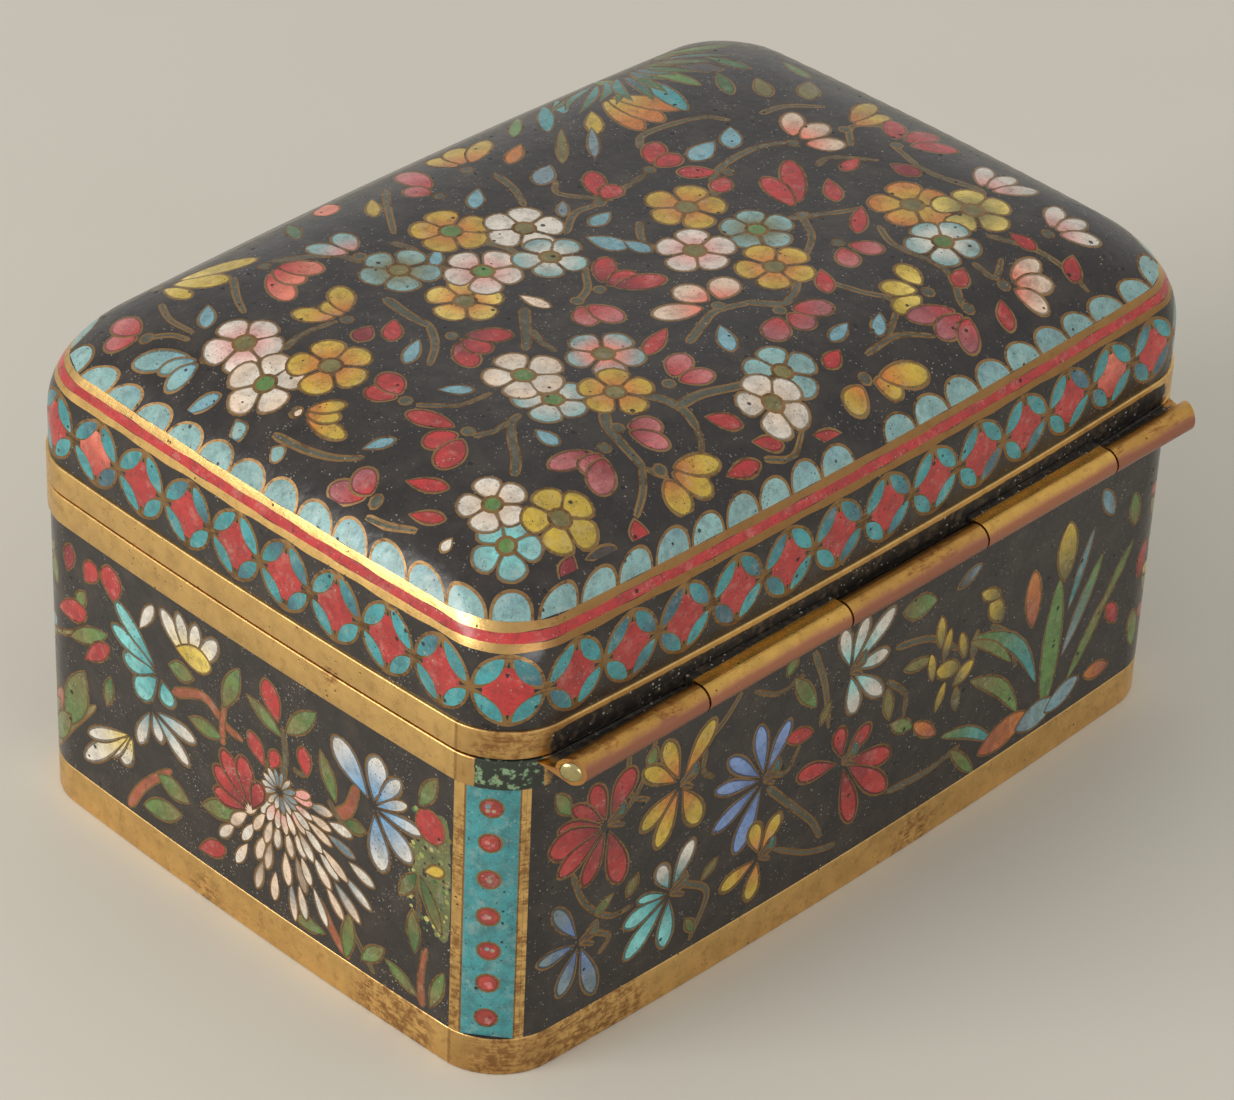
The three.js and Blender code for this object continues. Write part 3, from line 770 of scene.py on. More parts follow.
# each half-open flower: its base, its petals' tips (x, y, width), and the tones at the base and at the tips;
# one without tones is red, deeper at the base and often rosy at the tips
FANS = (
    ((39.3, -1.8), ((39, 4.2, 1.7), (37.7, 2.2, 1.7), (36.2, 1.4, 1.6)), "orange", "yellow"),
    ((32.6, 4.9), ((33.8, 1, 2.3), (31.1, 0.4, 2.5))), ((42, 11.3), ((42.9, 6.3, 1.9), (40.7, 7.6, 2.3))),
    ((31.9, 12), ((33.7, 6.1, 2.1), (35.8, 10.4, 2.5), (36.9, 13.8, 2.7))),
    ((24.5, 21.2), ((30.3, 20.2, 2.2), (28.3, 22.6, 2.3), (28.8, 24.9, 2.6))),
    ((22.5, 0.2), ((24.7, 5.2, 2.4), (21.7, 4.4, 2.4), (18.3, 3.7, 2.3))),
    ((10.1, 3.4), ((12.2, 7.2, 2.5), (9.4, 8.6, 2.6))),
    ((7.2, 3.4), ((2.7, -0.2, 2.2), (2.6, 3.4, 2.4), (1.2, 6, 2.5))),
    ((1.2, 12.4), ((6.9, 9.6, 2.7), (1.9, 7.6, 3.1), (-3, 9.6, 3.0)), "coral", "cream"),
    ((13.6, 18.3), ((9.2, 15.9, 2.5), (9.2, 19.6, 2.3))), ((21.7, 20), ((18.1, 22, 2.5), (19.4, 24.2, 2.2))),
    ((22, 25.5), ((22.6, 29.5, 2.6), (18.7, 28.9, 2.4), (16.3, 27.3, 2.1)), "orange", "yellow"),
    ((-2.4, 16.6), ((1.5, 19.6, 2.7), (-3, 20.4, 2.6), (-6.8, 19.3, 2.6))),
    ((-2.6, 27), ((1.2, 28.8, 2.4), (-5.4, 29.3, 2.2), (-9.2, 28.9, 2.3)), "orange", "yellow"),
    ((40.3, -20.5), ((42.1, -24.2, 2.2), (39.6, -25.6, 2.4))),
    ((39.2, -13.6), ((42.6, -19.8, 2.0), (42.2, -16.8, 1.5), (43.1, -14.8, 2.0)), "sky", "pale_blue"),
    ((27.6, -8), ((30.4, -12.3, 2.4), (27.1, -11.6, 2.2), (24.3, -12.7, 2.5)), "orange", "yellow"),
    ((26.5, -20.2), ((29.2, -13.8, 2.5), (26.2, -15.2, 2.6), (23.3, -15.6, 2.7))),
    ((19.4, -15.2), ((21.6, -20.2, 2.3), (17.8, -20, 2.4)), "pink", "pale_blue"),
    ((6.4, -18.4), ((4.4, -26, 2.7), (7.6, -22, 2.4))),
    ((-3.6, -7.4), ((-7.2, -12, 2.2), (-7.2, -8.6, 2.4))),
    ((-11.4, -8.6), ((-15.7, -11.8, 2.4), (-15.6, -8.6, 2.4))),
    ((-16.6, -3.4), ((-13, -6.6, 2.2), (-13.2, -1.4, 2.2))),
    ((-16.2, 6.6), ((-22.6, -1.2, 2.4), (-18.6, -0.6, 2.4))),
    ((-25.3, -3), ((-29.6, -7.2, 2.4), (-30.4, -3.4, 2.6), (-28.8, 0.6, 2.5)), "coral", "cream"),
    ((-31, -1.6), ((-37.4, -1.6, 2.2), (-38.6, -4.6, 2.2)), "orange", "yellow"),
    ((-32.6, 3.6), ((-36.8, -0.6, 2.4), (-38.6, 3.4, 2.6), (-37.6, 7.2, 2.6))),
    ((-15, 12.2), ((-12.8, 16, 2.3), (-17.2, 16, 2.3))),
    ((-15.8, 22.6), ((-11, 22.8, 2.3), (-12.4, 19.6, 2.3), (-16.4, 18.2, 2.3)), "pale_yellow", "yellow"),
    ((-17.8, 25.8), ((-11.4, 23.9, 2.2), (-12.6, 26.8, 2.2), (-14.4, 29, 2.2))),
    ((-23.2, 25.4), ((-28.8, 24.8, 2.1), (-28.2, 27.2, 2.1), (-25.8, 29, 2.1)), "coral", "cream"),
    ((-32, 14.6), ((-37, 11.2, 2.1), (-38, 14, 2.0), (-37.8, 17, 2.0)), "pink", "white"),
    ((-32.4, 22.8), ((-37.2, 20, 2.1), (-38, 22.8, 2.0), (-37, 25.6, 2.1)), "pink", "white"),
    ((34, -26.4), ((34.2, -21.4, 1.8), (30, -20.8, 2.8), (25.6, -22, 2.5)), "pale_yellow", "yellow"),
    ((1, -20.4), ((0.6, -26, 2.4), (-2.6, -26, 2.8), (-5.4, -24.4, 2.4)), "orange", "yellow"),
    ((-18.8, -23.4), ((-16.2, -14.2, 2.6), (-19, -14, 2.8), (-21.8, -14.6, 2.6)), "yellow", "orange"),
)
for base, tips, *tones in FANS:
    tones = tones or (rng.choice(("red", "wine", "red")),
                      rng.choice(("red", "rose", "red", "rose", "coral", "mauve")))
    fan(lid_top, base, [(x, y, width * 1.06) for x, y, width in tips], *tones, start=0.22, fat=1.25,
        blunt=0.5, gap=0.3, dim=0.4)
    disc(lid_top, base, 0.62, "bark", steps=8)

# single buds and leaves by tone: centre x, y, direction in degrees, length and width
BUDS = (
    ("red", (38.7, 14.1, 110, 4.1, 1.6), (40.95, 16.5, 109, 3.5, 1.3)), ("wine", (36, 28.6, 30, 2.7, 1.8)),
    ("smoke", (32.3, 28.7, 175, 3.4, 0.9)),
    ("red", (27.8, 28.8, 70, 2.1, 2.0), (12.9, 24.4, 136, 3.4, 2.0), (14.7, 28.6, 175, 4.0, 1.5), (10.8,
        27.8, 153, 3.0, 1.5), (4.6, 29.5, 157, 3.3, 1.3), (9.7, 12.9, 22, 5.0, 1.9), (-1.4, 24.1, 20, 2.9,
        1.8), (-9.1, 15.9, 52, 4.0, 1.9), (-21.6, 5.4, 54, 4.2, 1.9), (-19.5, 10.7, 38, 5.0, 1.8), (-26.4,
        3.3, 10, 3.0, 1.8)), ("wine", (-29.6, 7.4, 100, 3.4, 2.2)),
    ("red", (-20, 22.8, 30, 3.0, 2.0), (-20.9, 27.7, 60, 3.0, 1.9), (-29.3, 22.4, 100, 3.0, 1.9), (-31.4,
        26.8, 40, 3.0, 2.0)), ("wine", (28.1, -5.3, 20, 2.9, 2.1)), ("red", (25.8, -4, 42, 3.7, 2.0)),
    ("coral", (14, -25.6, 50, 4.4, 2.7)),
    ("sky", (37.8, 7.2, 145, 2.9, 1.4), (28.3, 6.75, 137, 3.2, 1.6), (27.5, 17.2, 90, 2.9, 1.7), (26.9, -0.3,
        30, 4.2, 1.6), (4.6, 16.6, 58, 4.3, 1.9), (35.5, -17.8, 45, 3.6, 1.7), (42.5, -10.4, 140, 3.2, 1.5),
        (14.4, -10.4, 40, 3.2, 1.5), (4.4, -15.6, 40, 3.8, 1.8), (0.9, -1.9, 110, 4.2, 2.5), (-0.7, 0.4, 100,
        3.2, 1.9)), ("slate", (-0.3, -8.9, 45, 2.8, 1.3)),
    ("sky", (-1.6, -5.3, 10, 3.2, 1.9), (-4.5, 22, 15, 3.4, 1.6), (-8.5, 23.2, 40, 3.2, 1.6), (-17.7, -7.7,
        15, 4.4, 2.6), (-21.6, -7.7, 45, 4.2, 2.3)), ("yellow", (12, -21.4, 51, 4.2, 1.6)),
    ("cream", (13, 1, 100, 3.5, 1.6)), ("slate", (-3.4, -14.5, 30, 4.0, 2.4)),
    ("orange", (-4.4, -19.4, 30, 4.4, 1.8)), ("yellow", (-14.1, -18.6, 50, 5.2, 1.9)),
    ("olive", (-34.6, -9.6, 40, 4.6, 2.4), (-31.2, -12.6, 60, 4.2, 2.0)),
    ("white", (41.9, 19.9, 0, 1.2, 1.1)),
    ("pale_blue", (42.8, -5.4, 60, 2.0, 1.6), (42.8, -0.4, 80, 1.6, 1.4)),
    ("cream", (39.2, -1.6, 0, 1.0, 0.8)), ("turquoise", (-23.4, -18.6, 75, 9.5, 2.4)),
    ("green", (-26.6, -20.8, 95, 8.0, 1.8)), ("turquoise", (-12.6, -23.6, 48, 8.5, 1.8)),
    ("green", (-9.4, -24.4, 42, 6.5, 1.5)), ("turquoise", (-15.6, -24.6, 55, 5.5, 1.6)),
    ("green", (-22.6, -25.4, 75, 5.0, 1.6)), ("olive", (-8.6, -17.4, 46, 7.0, 1.2)),
    ("slate", (-11.2, -15.8, 48, 6.0, 1.3)), ("smoke", (-30, -20, 120, 5.0, 2.4)),
    ("dark_green", (-33, -19, 100, 5.6, 1.6), (-29, -15.6, 60, 5.0, 1.6)),
    ("green", (-37.6, -14, 80, 4.6, 1.6)), ("dark_green", (19.4, -24.2, 60, 5.0, 1.5)),
)
for tone, *rows in BUDS:
    for x, y, angle, length, width in rows:
        bud(lid_top, (x, y), angle, length, width, tone)

# the clump of grass at the far corner: blades that fan out from a short row of roots
BLADES, FIRST_BLADE, BLADE_TURN = 17, 22, 8.2
for k in range(BLADES):
    turn, far = math.radians(FIRST_BLADE + k * BLADE_TURN), rng.uniform(8.5, 13.5)
    root = np.array([-24.0 - k * 0.25, -27.4])
    tip = root + far * np.array([math.cos(turn), math.sin(turn) * 0.8])
    petal(lid_top, root + (tip - root) * 0.3, tip, rng.uniform(1.0, 1.8),
          rng.choice(("turquoise", "green", "dark_green", "slate_blue", "olive")), "dark_green",
          fat=0.9, blunt=0.9, curl=rng.uniform(-0.9, 0.9))

# each blossom: centre x, y, radius, the direction of one petal, tones of its petals and its heart
BLOSSOMS = (
    (38.9, 24, 3.1, 60, "pale_turquoise", "pale_blue", "green"),
    (36.8, 20.1, 3.2, -47, "cream", "white", "green"), (33.5, 24.9, 3.6, -32, "yellow", "yellow", "olive"),
    (23.1, 13.5, 3.6, 100, "white", "pale_blue", "green"), (22.3, 9, 3.9, -36, "white", "cream", "green"),
    (14.6, 11.2, 3.7, -19, "coral", "pale_blue", "olive"),
    (18.2, 16.2, 3.6, 15, "orange", "yellow", "olive"),
    (3.9, 22.9, 3.5, -40, "pale_blue", "pale_blue", "olive"),
    (7.4, 25.1, 3.6, -22, "cream", "white", "olive"), (36.1, -12.1, 3.8, -33, "pink", "white", "olive"),
    (38.5, -6.7, 3.7, -8, "white", "cream", "green"), (33.5, -3.7, 3.9, 20, "orange", "yellow", "olive"),
    (18.4, -11.1, 3.8, -15, "olive", "pale_blue", "olive"),
    (10.2, -12.9, 4.0, 25, "orange", "yellow", "green"),
    (17.6, -3.3, 3.8, 10, "orange", "pale_yellow", "olive"),
    (12.9, -5.9, 3.9, -20, "pink", "white", "green"), (4.8, -8.8, 3.9, 5, "white", "white", "olive"),
    (6.6, -3.6, 3.6, 40, "white", "pale_blue", "olive"), (-9.1, -1.5, 4.0, 0, "orange", "yellow", "olive"),
    (-11.1, 5.6, 3.7, 20, "olive", "pale_blue", "green"), (-4.1, 4.4, 3.9, 15, "pink", "white", "olive"),
    (-7.5, 11.2, 3.9, 40, "orange", "yellow", "olive"), (-25.2, 12.2, 4.1, 25, "yellow", "orange", "olive"),
    (-29, 16.4, 4.0, 15, "olive", "pale_yellow", "olive"),
    (-22.6, 18.3, 3.7, 50, "white", "pale_blue", "green"),
)
for x, y, radius, turn, tone, tip_tone, heart in BLOSSOMS:
    blossom(lid_top, (x, y), radius, tone, tip_tone, heart, math.radians(turn))

# box walls: the sheet is cut where the corner strip covers its joint
WALL_CUT = 32.25
wall_seeds = side_seeds(FOOT_TOP, RIM_BOTTOM, 2.2, 2.2, 0.6)
wall_seeds[:, 0] -= np.where(wall_seeds[:, 0] > WALL_CUT, 2 * CUT, 0)
wall_seeds = wall_seeds[np.abs(wall_seeds[:, 0] - WALL_CUT + CUT) < CUT - 0.5]
walls = Patch(on_wall, strip_border(FOOT_TOP, RIM_BOTTOM) + np.array([WALL_CUT - CUT, 0]), wall_seeds)

# the corner strip along the perimeter: its ends, its first gilt line, its wires and its column of dots
STRIP_START, STRIP_END, STRIP_LINE = 25.9, 32.65, 1.05
WIRE_END, WIRE_WIDTHS, DOT_COLUMN = 31.85, (0.2, 0.15), 29.4
DOT_LEVELS = (29.8, 26.2, 22.2, 18.1, 14.3, 10.6, 6.6)


def upright(patch, s0, s1, tone, kind=ENAMEL):
    """A strip of the wall's full height between two places of the perimeter."""
    z = np.linspace(FOOT_TOP + 0.02, RIM_BOTTOM - 0.02, 14)
    sides = [np.column_stack([np.full(14, s1), z]), np.column_stack([np.full(14, s0), z[::-1]])]
    patch.lay(np.concatenate(sides), tone, kind)


def corner_strip(patch):
    """The upright strip with red dots that covers the joint of the wall's sheet, at one corner only."""
    wire_start = STRIP_START + STRIP_LINE
    upright(patch, STRIP_START, wire_start, "ground", LINE)
    upright(patch, wire_start, WIRE_END, "ground", WIRE)
    upright(patch, wire_start + WIRE_WIDTHS[0], WIRE_END - WIRE_WIDTHS[1], "turquoise")
    upright(patch, WIRE_END, WALL_CUT - 0.01, "ground", LINE)
    upright(patch, WALL_CUT + 0.01 - 2 * CUT, STRIP_END - 2 * CUT, "ground", LINE)
    for level in DOT_LEVELS:
        x, z = DOT_COLUMN + rng.uniform(-0.1, 0.1), level + rng.uniform(-0.15, 0.15)
        disc(patch, (x, z), 1.0, "wine", WIRE_WIDTH, 12)
        disc(patch, (x, z), 0.8, "brick", 0.0, 9)
        for _ in range(3):
            speck = (x + rng.uniform(-0.4, 0.4), z + rng.uniform(-0.4, 0.4))
            size, tone = rng.uniform(0.14, 0.3), rng.choice(("slate", "dusk", "rose", "wine"))
            disc(patch, speck, size, tone, 0.0, 6)


class Panel:
    """One side of the box: lays motifs that are measured from its middle, as drawn or mirrored."""

    def __init__(self, patch, middle, way, mirrored=False):
        self.patch, self.middle, self.way, self.mirrored = patch, middle, way, mirrored

    def at(self, across, z, *width):
        return (self.middle + self.way * across, z, *width)

    def turned(self, angle):
        return 180 - angle if self.mirrored else angle

    def stem(self, points, width, tone):
        stem(self.patch, [self.at(*point) for point in points], width, tone)

    def leaf(self, across, z, angle, *rest):
        leaf(self.patch, self.at(across, z), self.turned(angle), *rest)

    def bud(self, across, z, angle, *rest, **shape):
        bud(self.patch, self.at(across, z), self.turned(angle), *rest, **shape)

    def fan(self, base, tips, *tones, **shape):
        fan(self.patch, self.at(*base), [self.at(*tip) for tip in tips], *tones, **shape)


# the +X end, from its middle along Y: the rock's outline, then stems (points, width, tone) and leaves and
# buds (y, z, direction in degrees, length, width, tones)
ROCK = ((20.8, 20.4), (21.4, 24.4), (23.4, 26.6), (25.4, 26), (25.7, 15), (24.4, 13.6), (22.4, 16.6))
END_STEMS = (
    (((13.4, 4.6), (11.4, 6.4), (9.4, 9.4)), 1.2, "russet"),
    (((22.6, 4.6), (22.4, 8), (23, 11.6)), 0.9, "russet"),
    (((11.4, 19.8), (13.2, 21.6), (14.2, 24.8)), 1.5, "russet"),
    (((-17, 4.6), (-14.6, 8.4), (-10.6, 12.4)), 1.2, "russet"),
    (((-10.4, 21.4), (-6, 23.4), (-3, 21.8), (-0.6, 21.4)), 1.1, "russet"),
    (((4.6, 19.6), (5, 23), (4.6, 26)), 0.8, "bark"),
    (((-3.4, 19.4), (-3.4, 22), (-3, 24.4)), 0.9, "russet"),
    (((-28.6, 5), (-25, 9.6), (-21.6, 13.6)), 1.0, "olive"),
    (((10.6, 21.2), (11.6, 20), (13.6, 19)), 0.6, "bark"),
    (((-20, 22.6), (-24, 20.6), (-28, 18.6)), 0.7, "olive"),
    (((21.6, 13.6), (22, 16), (21, 19)), 0.6, "bark"), (((16.6, 4.8), (15, 6.6), (13, 9.2)), 0.6, "bark"),
    (((6, 22), (7.2, 22), (7.6, 22.6)), 0.5, "bark"), (((2.6, 19.8), (2.6, 20.6), (2.2, 21)), 0.5, "bark"),
)
END_LEAVES = (
    (22.9, 28.8, 63, 4.5, 1.8, "green", "olive"), (10.5, 23.7, 113, 5.2, 1.8, "green", "olive"),
    (7, 27.6, 48, 6.0, 2.1, "olive", "green"), (2.2, 25.8, 155, 5.2, 1.7, "green", "olive"),
    (-2.2, 26.4, 68, 6.0, 2.2, "olive", "green"), (-5.8, 20, 2, 4.6, 1.9, "olive", "green"),
    (-3.8, 11.8, 20, 5.6, 2.3, "olive", "green"), (-12, 7, 20, 6.0, 2.5, "green", "olive"),
    (-10.4, 10.4, 170, 4.6, 2.4, "olive", "green"), (-22.4, 21.2, 30, 6.6, 2.0, "olive", "green"),
    (-24.6, 12.8, 70, 8.4, 3.6, "green", "olive"), (-9, 24.5, 5, 3.6, 2.2, "green", "olive"),
    (8, 5.5, 5, 4.6, 1.7, "olive", "green"), (13.2, 7.2, 85, 5.6, 1.9, "green", "olive"),
    (16.4, 7, 45, 4.2, 1.8, "green", "olive"), (20, 6.4, -25, 4.6, 1.6, "green", "olive"),
    (24.4, 7.6, 72, 5.2, 1.6, "olive", "green"), (21.4, 12.6, 95, 4.8, 1.8, "dark_green", "olive"),
    (20.6, 17.4, 60, 4.2, 1.7, "olive", "dark_green"), (23.5, 16.6, 118, 6.0, 1.7, "olive", "dark_green"),
    (14, 20, 10, 3.0, 1.7, "dark_green", "olive"), (-27.4, 8, 50, 6.4, 2.8, "green", "olive"),
    (-23.4, 24.8, 60, 2.8, 1.6, "green", "olive"), (-19.6, 16.4, 80, 3.8, 1.6, "olive", "dark_green"),
    (-28, 26.4, 110, 4.6, 2.0, "green", "olive"), (-29.6, 12.6, 100, 5.0, 2.0, "olive", "green"),
)
END_BUDS = (
    (3.2, 28, 114, 4.4, 2.6, "red"), (1.2, 21.6, 125, 3.6, 2.1, "red"), (3.5, 21.6, 70, 2.6, 1.7, "red"),
    (7.5, 23.6, 100, 3.2, 2.0, "red"), (-5, 6.6, 30, 4.4, 2.1, "red"), (23.8, 20.6, 30, 2.8, 1.4, "yellow"),
    (-18.8, 28.9, 100, 4.0, 3.2, "red"), (-21.9, 28.5, 60, 3.2, 2.3, "red"),
    (-24.8, 22.8, 20, 4.8, 2.6, "red"), (-21.2, 19.9, 43, 5.2, 2.0, "red"),
    (-13.8, 28, 60, 4.2, 1.5, "white"), (-28, 10.4, 60, 5.0, 2.0, "russet"),
    (-25, 28.6, 80, 3.4, 1.8, "wine"),
)
# rows of the chrysanthemum: first and last direction, step, start and end of the petals, width and tone
CHRYSANTHEMUM = (
    (-128, -8, 11, 9.4, 13.4, 1.45, "cream"), (-134, 0, 12, 6.4, 10.0, 1.4, "cream"),
    (-146, 10, 14, 3.9, 7.0, 1.3, "cream"), (-160, 30, 17, 1.9, 4.4, 1.1, "pink"),
    (-180, 175, 26, 0.5, 2.4, 0.8, "slate"),
)


def end_panel(panel):
    """The panel of the +X end: a fan flower, a chrysanthemum, a peony and sprays of leaves."""
    # the rock of mottled green behind the fan flower, in small pale flecks
    rock = [panel.at(*p) for p in ROCK]
    panel.patch.lay(smooth_path(rock + rock[:1])[:-1], "rock")
    for _ in range(150):
        spot = panel.at(rng.uniform(20.6, 25.6), rng.uniform(13.4, 26.4))
        disc(panel.patch, spot, rng.uniform(0.1, 0.34),
             rng.choice(("olive", "ground", "dark_green", "moss", "gold_fleck")), 0.0, 6)
    for row in END_STEMS:
        panel.stem(*row)
    for row in END_LEAVES:
        panel.leaf(*row)
    # the chrysanthemum: rice-shaped petals in rows round its heart
    heart = np.array(panel.at(4.2, 18.4))
    for low, high, step, near, far, width, tone in CHRYSANTHEMUM:
        for angle in np.arange(low, high, step):
            turn = math.radians(panel.turned(angle + rng.uniform(-4, 4)))
            out = np.array([math.cos(turn), math.sin(turn)])
            end = heart + out * far * rng.uniform(0.93, 1.04)
            if FOOT_TOP + 0.5 < end[1] < RIM_BOTTOM - 0.5:
                hue = rng.choice((tone, tone, "white", "dusk", "slate")) if far > 4 else tone
                petal(panel.patch, heart + out * near, end, width * rng.uniform(0.8, 1.05), hue,
                      rng.choice(("white", "cream", hue)))
    panel.fan((0.4, 13.8), ((-4.8, 13.6, 2.2), (-4.8, 16.4, 2.6), (-3.6, 19, 2.6), (-0.8, 19.8, 2.6),
                            (1.8, 18, 2.2)), "wine", "red")
    panel.fan((16.2, 23.5), ((11.1, 28.6, 3.2), (16.8, 29.4, 2.9), (19.6, 28.3, 1.9), (22.4, 23.8, 1.7),
                             (20.4, 26, 1.2), (21.2, 19.9, 2.8), (17.4, 16.8, 2.9)),
              "azure", "white", reach=1.1)
    disc(panel.patch, panel.at(23.2, 25.2), 1.8, "red")
    for row in END_BUDS:
        panel.bud(*row)
    panel.fan((-7.6, 25.4), ((-11.8, 30.2, 2.2), (-9.4, 31, 2.0), (-6.8, 31, 2.0), (-4, 30.6, 2.2)),
              "pale_yellow", "white")
    panel.bud(-7.3, 27, 4, 5.0, 2.8, "yellow", "pale_yellow")
    panel.fan((-12, 22.4), ((-15.6, 18.4, 3.0), (-17.4, 21.6, 2.6), (-19, 24.4, 2.2), (-18.4, 27.4, 2.2),
                            (-10.6, 19.4, 2.6)), "turquoise", "pale_turquoise")
    panel.fan((-13.4, 18), ((-15.4, 12.8, 1.9), (-12, 14.6, 1.9), (-8, 14.2, 2.0), (-7, 17.6, 2.0)),
              "sky", "white")
    panel.fan((-16, 13.4), ((-17.8, 9, 2.3), (-20.4, 9, 2.3), (-23.6, 6.4, 2.2), (-23, 9.6, 1.8)),
              "pale_yellow", "white")


# the +Y side, from its middle along X: stems, leaves and flowers in the same way, and the clump with its buds
SIDE_STEMS = (
    (((37.6, 20.4), (36, 16.4), (33, 13.4), (30, 13)), 0.6), (((21.8, 26.2), (22, 24), (20.6, 22.6)), 0.5),
    (((24, 26), (20, 28.2), (17.6, 30.6)), 0.6), (((13.4, 17.8), (10, 14), (7, 10.6), (5.6, 8)), 0.8),
    (((24, 12.4), (20.6, 9.6), (22.6, 5)), 0.7), (((8.4, 30.6), (6.6, 26), (5.6, 20.6)), 0.7),
    (((-3.4, 8.6), (-9, 8), (-14, 8.6)), 0.8), (((31.4, 30.6), (31, 26), (28.6, 24.2)), 0.5),
    (((-3, 25.4), (-8, 24), (-12.4, 20.6)), 0.7), (((3.4, 6), (7.4, 7.2), (12, 10)), 0.6),
    (((13, 19), (11, 18.4), (9.4, 20.6)), 0.5), (((31.6, 24.2), (29.6, 26.6), (28, 31)), 0.5),
    (((34.6, 12.4), (32.8, 11), (34, 9.6)), 0.5), (((9.6, 28.6), (12.6, 28), (16, 29.8)), 0.5),
    (((-2.2, 22), (-5, 19), (-4.6, 15)), 0.6), (((-17, 21), (-20, 18.4), (-21.6, 14)), 0.6),
)
SIDE_LEAVES = (
    (39, 28.8, 120, 3.8, 1.7, "green"), (28.5, 28.8, 80, 2.4, 1.6, "green"),
    (9.2, 26.4, 124, 6.0, 1.9, "green"), (-6, 28.6, 170, 5.0, 2.8, "green"),
    (-4.8, 15.6, 150, 4.0, 1.8, "green"), (-2.6, 19.2, 100, 4.2, 1.6, "olive"),
    (30.2, 15.4, 60, 2.6, 1.5, "olive"), (11.2, 30.4, 60, 2.4, 1.5, "green"),
    (20.4, 12.2, 40, 2.6, 1.3, "olive"), (22.6, 6.8, 120, 2.6, 1.3, "dark_green"),
    (6.2, 22.6, 60, 2.6, 1.3, "olive"), (33.6, 15, 30, 2.6, 1.2, "dark_green"),
)
SIDE_FLOWERS = (
    ((33.6, 24), ((35.6, 29.2, 1.9), (30.8, 29, 2.5), (38, 28, 1.5), (39.6, 26.2, 1.6), (40.6, 24.2, 2.8),
        (39.4, 20.9, 2.1), (36.2, 18.2, 1.9), (31.6, 16.4, 2.3)), "wine", "red"),
    ((24.8, 24), ((27, 29.8, 1.9), (20.8, 29.4, 2.0), (29.6, 27.9, 1.8), (29.6, 21, 2.0), (27.4, 17.9, 2.0),
        (22.1, 18.2, 2.2)), "orange", "yellow"),
    ((14, 19), ((15, 25.7, 1.7), (10.9, 24.4, 1.7), (18.9, 23.8, 1.6), (20.4, 20.9, 1.5), (20.4, 16.1, 1.7),
        (17.2, 12, 2.1)), "blue", "periwinkle"),
    ((3.2, 25.8), ((4.6, 31.2, 1.7), (1.3, 31.2, 1.7), (-2.6, 30.4, 1.9), (-2.2, 25.5, 1.7), (-1.7, 20.8,
        1.7), (2.1, 20.4, 1.9)), "pale_turquoise", "white"),
    ((3.4, 15.6), ((9.6, 17, 1.9), (4.2, 20, 1.8), (-0.4, 18.2, 1.9), (-3.7, 12.9, 2.1), (-3.4, 8.9, 2.2),
        (1.3, 7.5, 2.1)), "wine", "red"),
    ((36.4, 12.2), ((39.7, 17.6, 1.6), (41.4, 12, 1.5), (38.7, 7, 1.8), (34.4, 5.2, 1.8)), "blue", "slate"),
    ((25.4, 12), ((27, 16, 1.7), (22.7, 17, 1.8)), "turquoise", "white"),
    ((25.4, 12), ((29.6, 13.2, 1.2), (31.2, 11, 1.9), (30.8, 7, 2.0), (25.9, 5.8, 1.9)), "turquoise",
        "pale_turquoise"),
    ((14, 10.2), ((15, 14.6, 1.8), (11.4, 14.1, 1.8), (19, 8.7, 1.8), (15, 5.4, 1.9)), "orange", "yellow"),
)
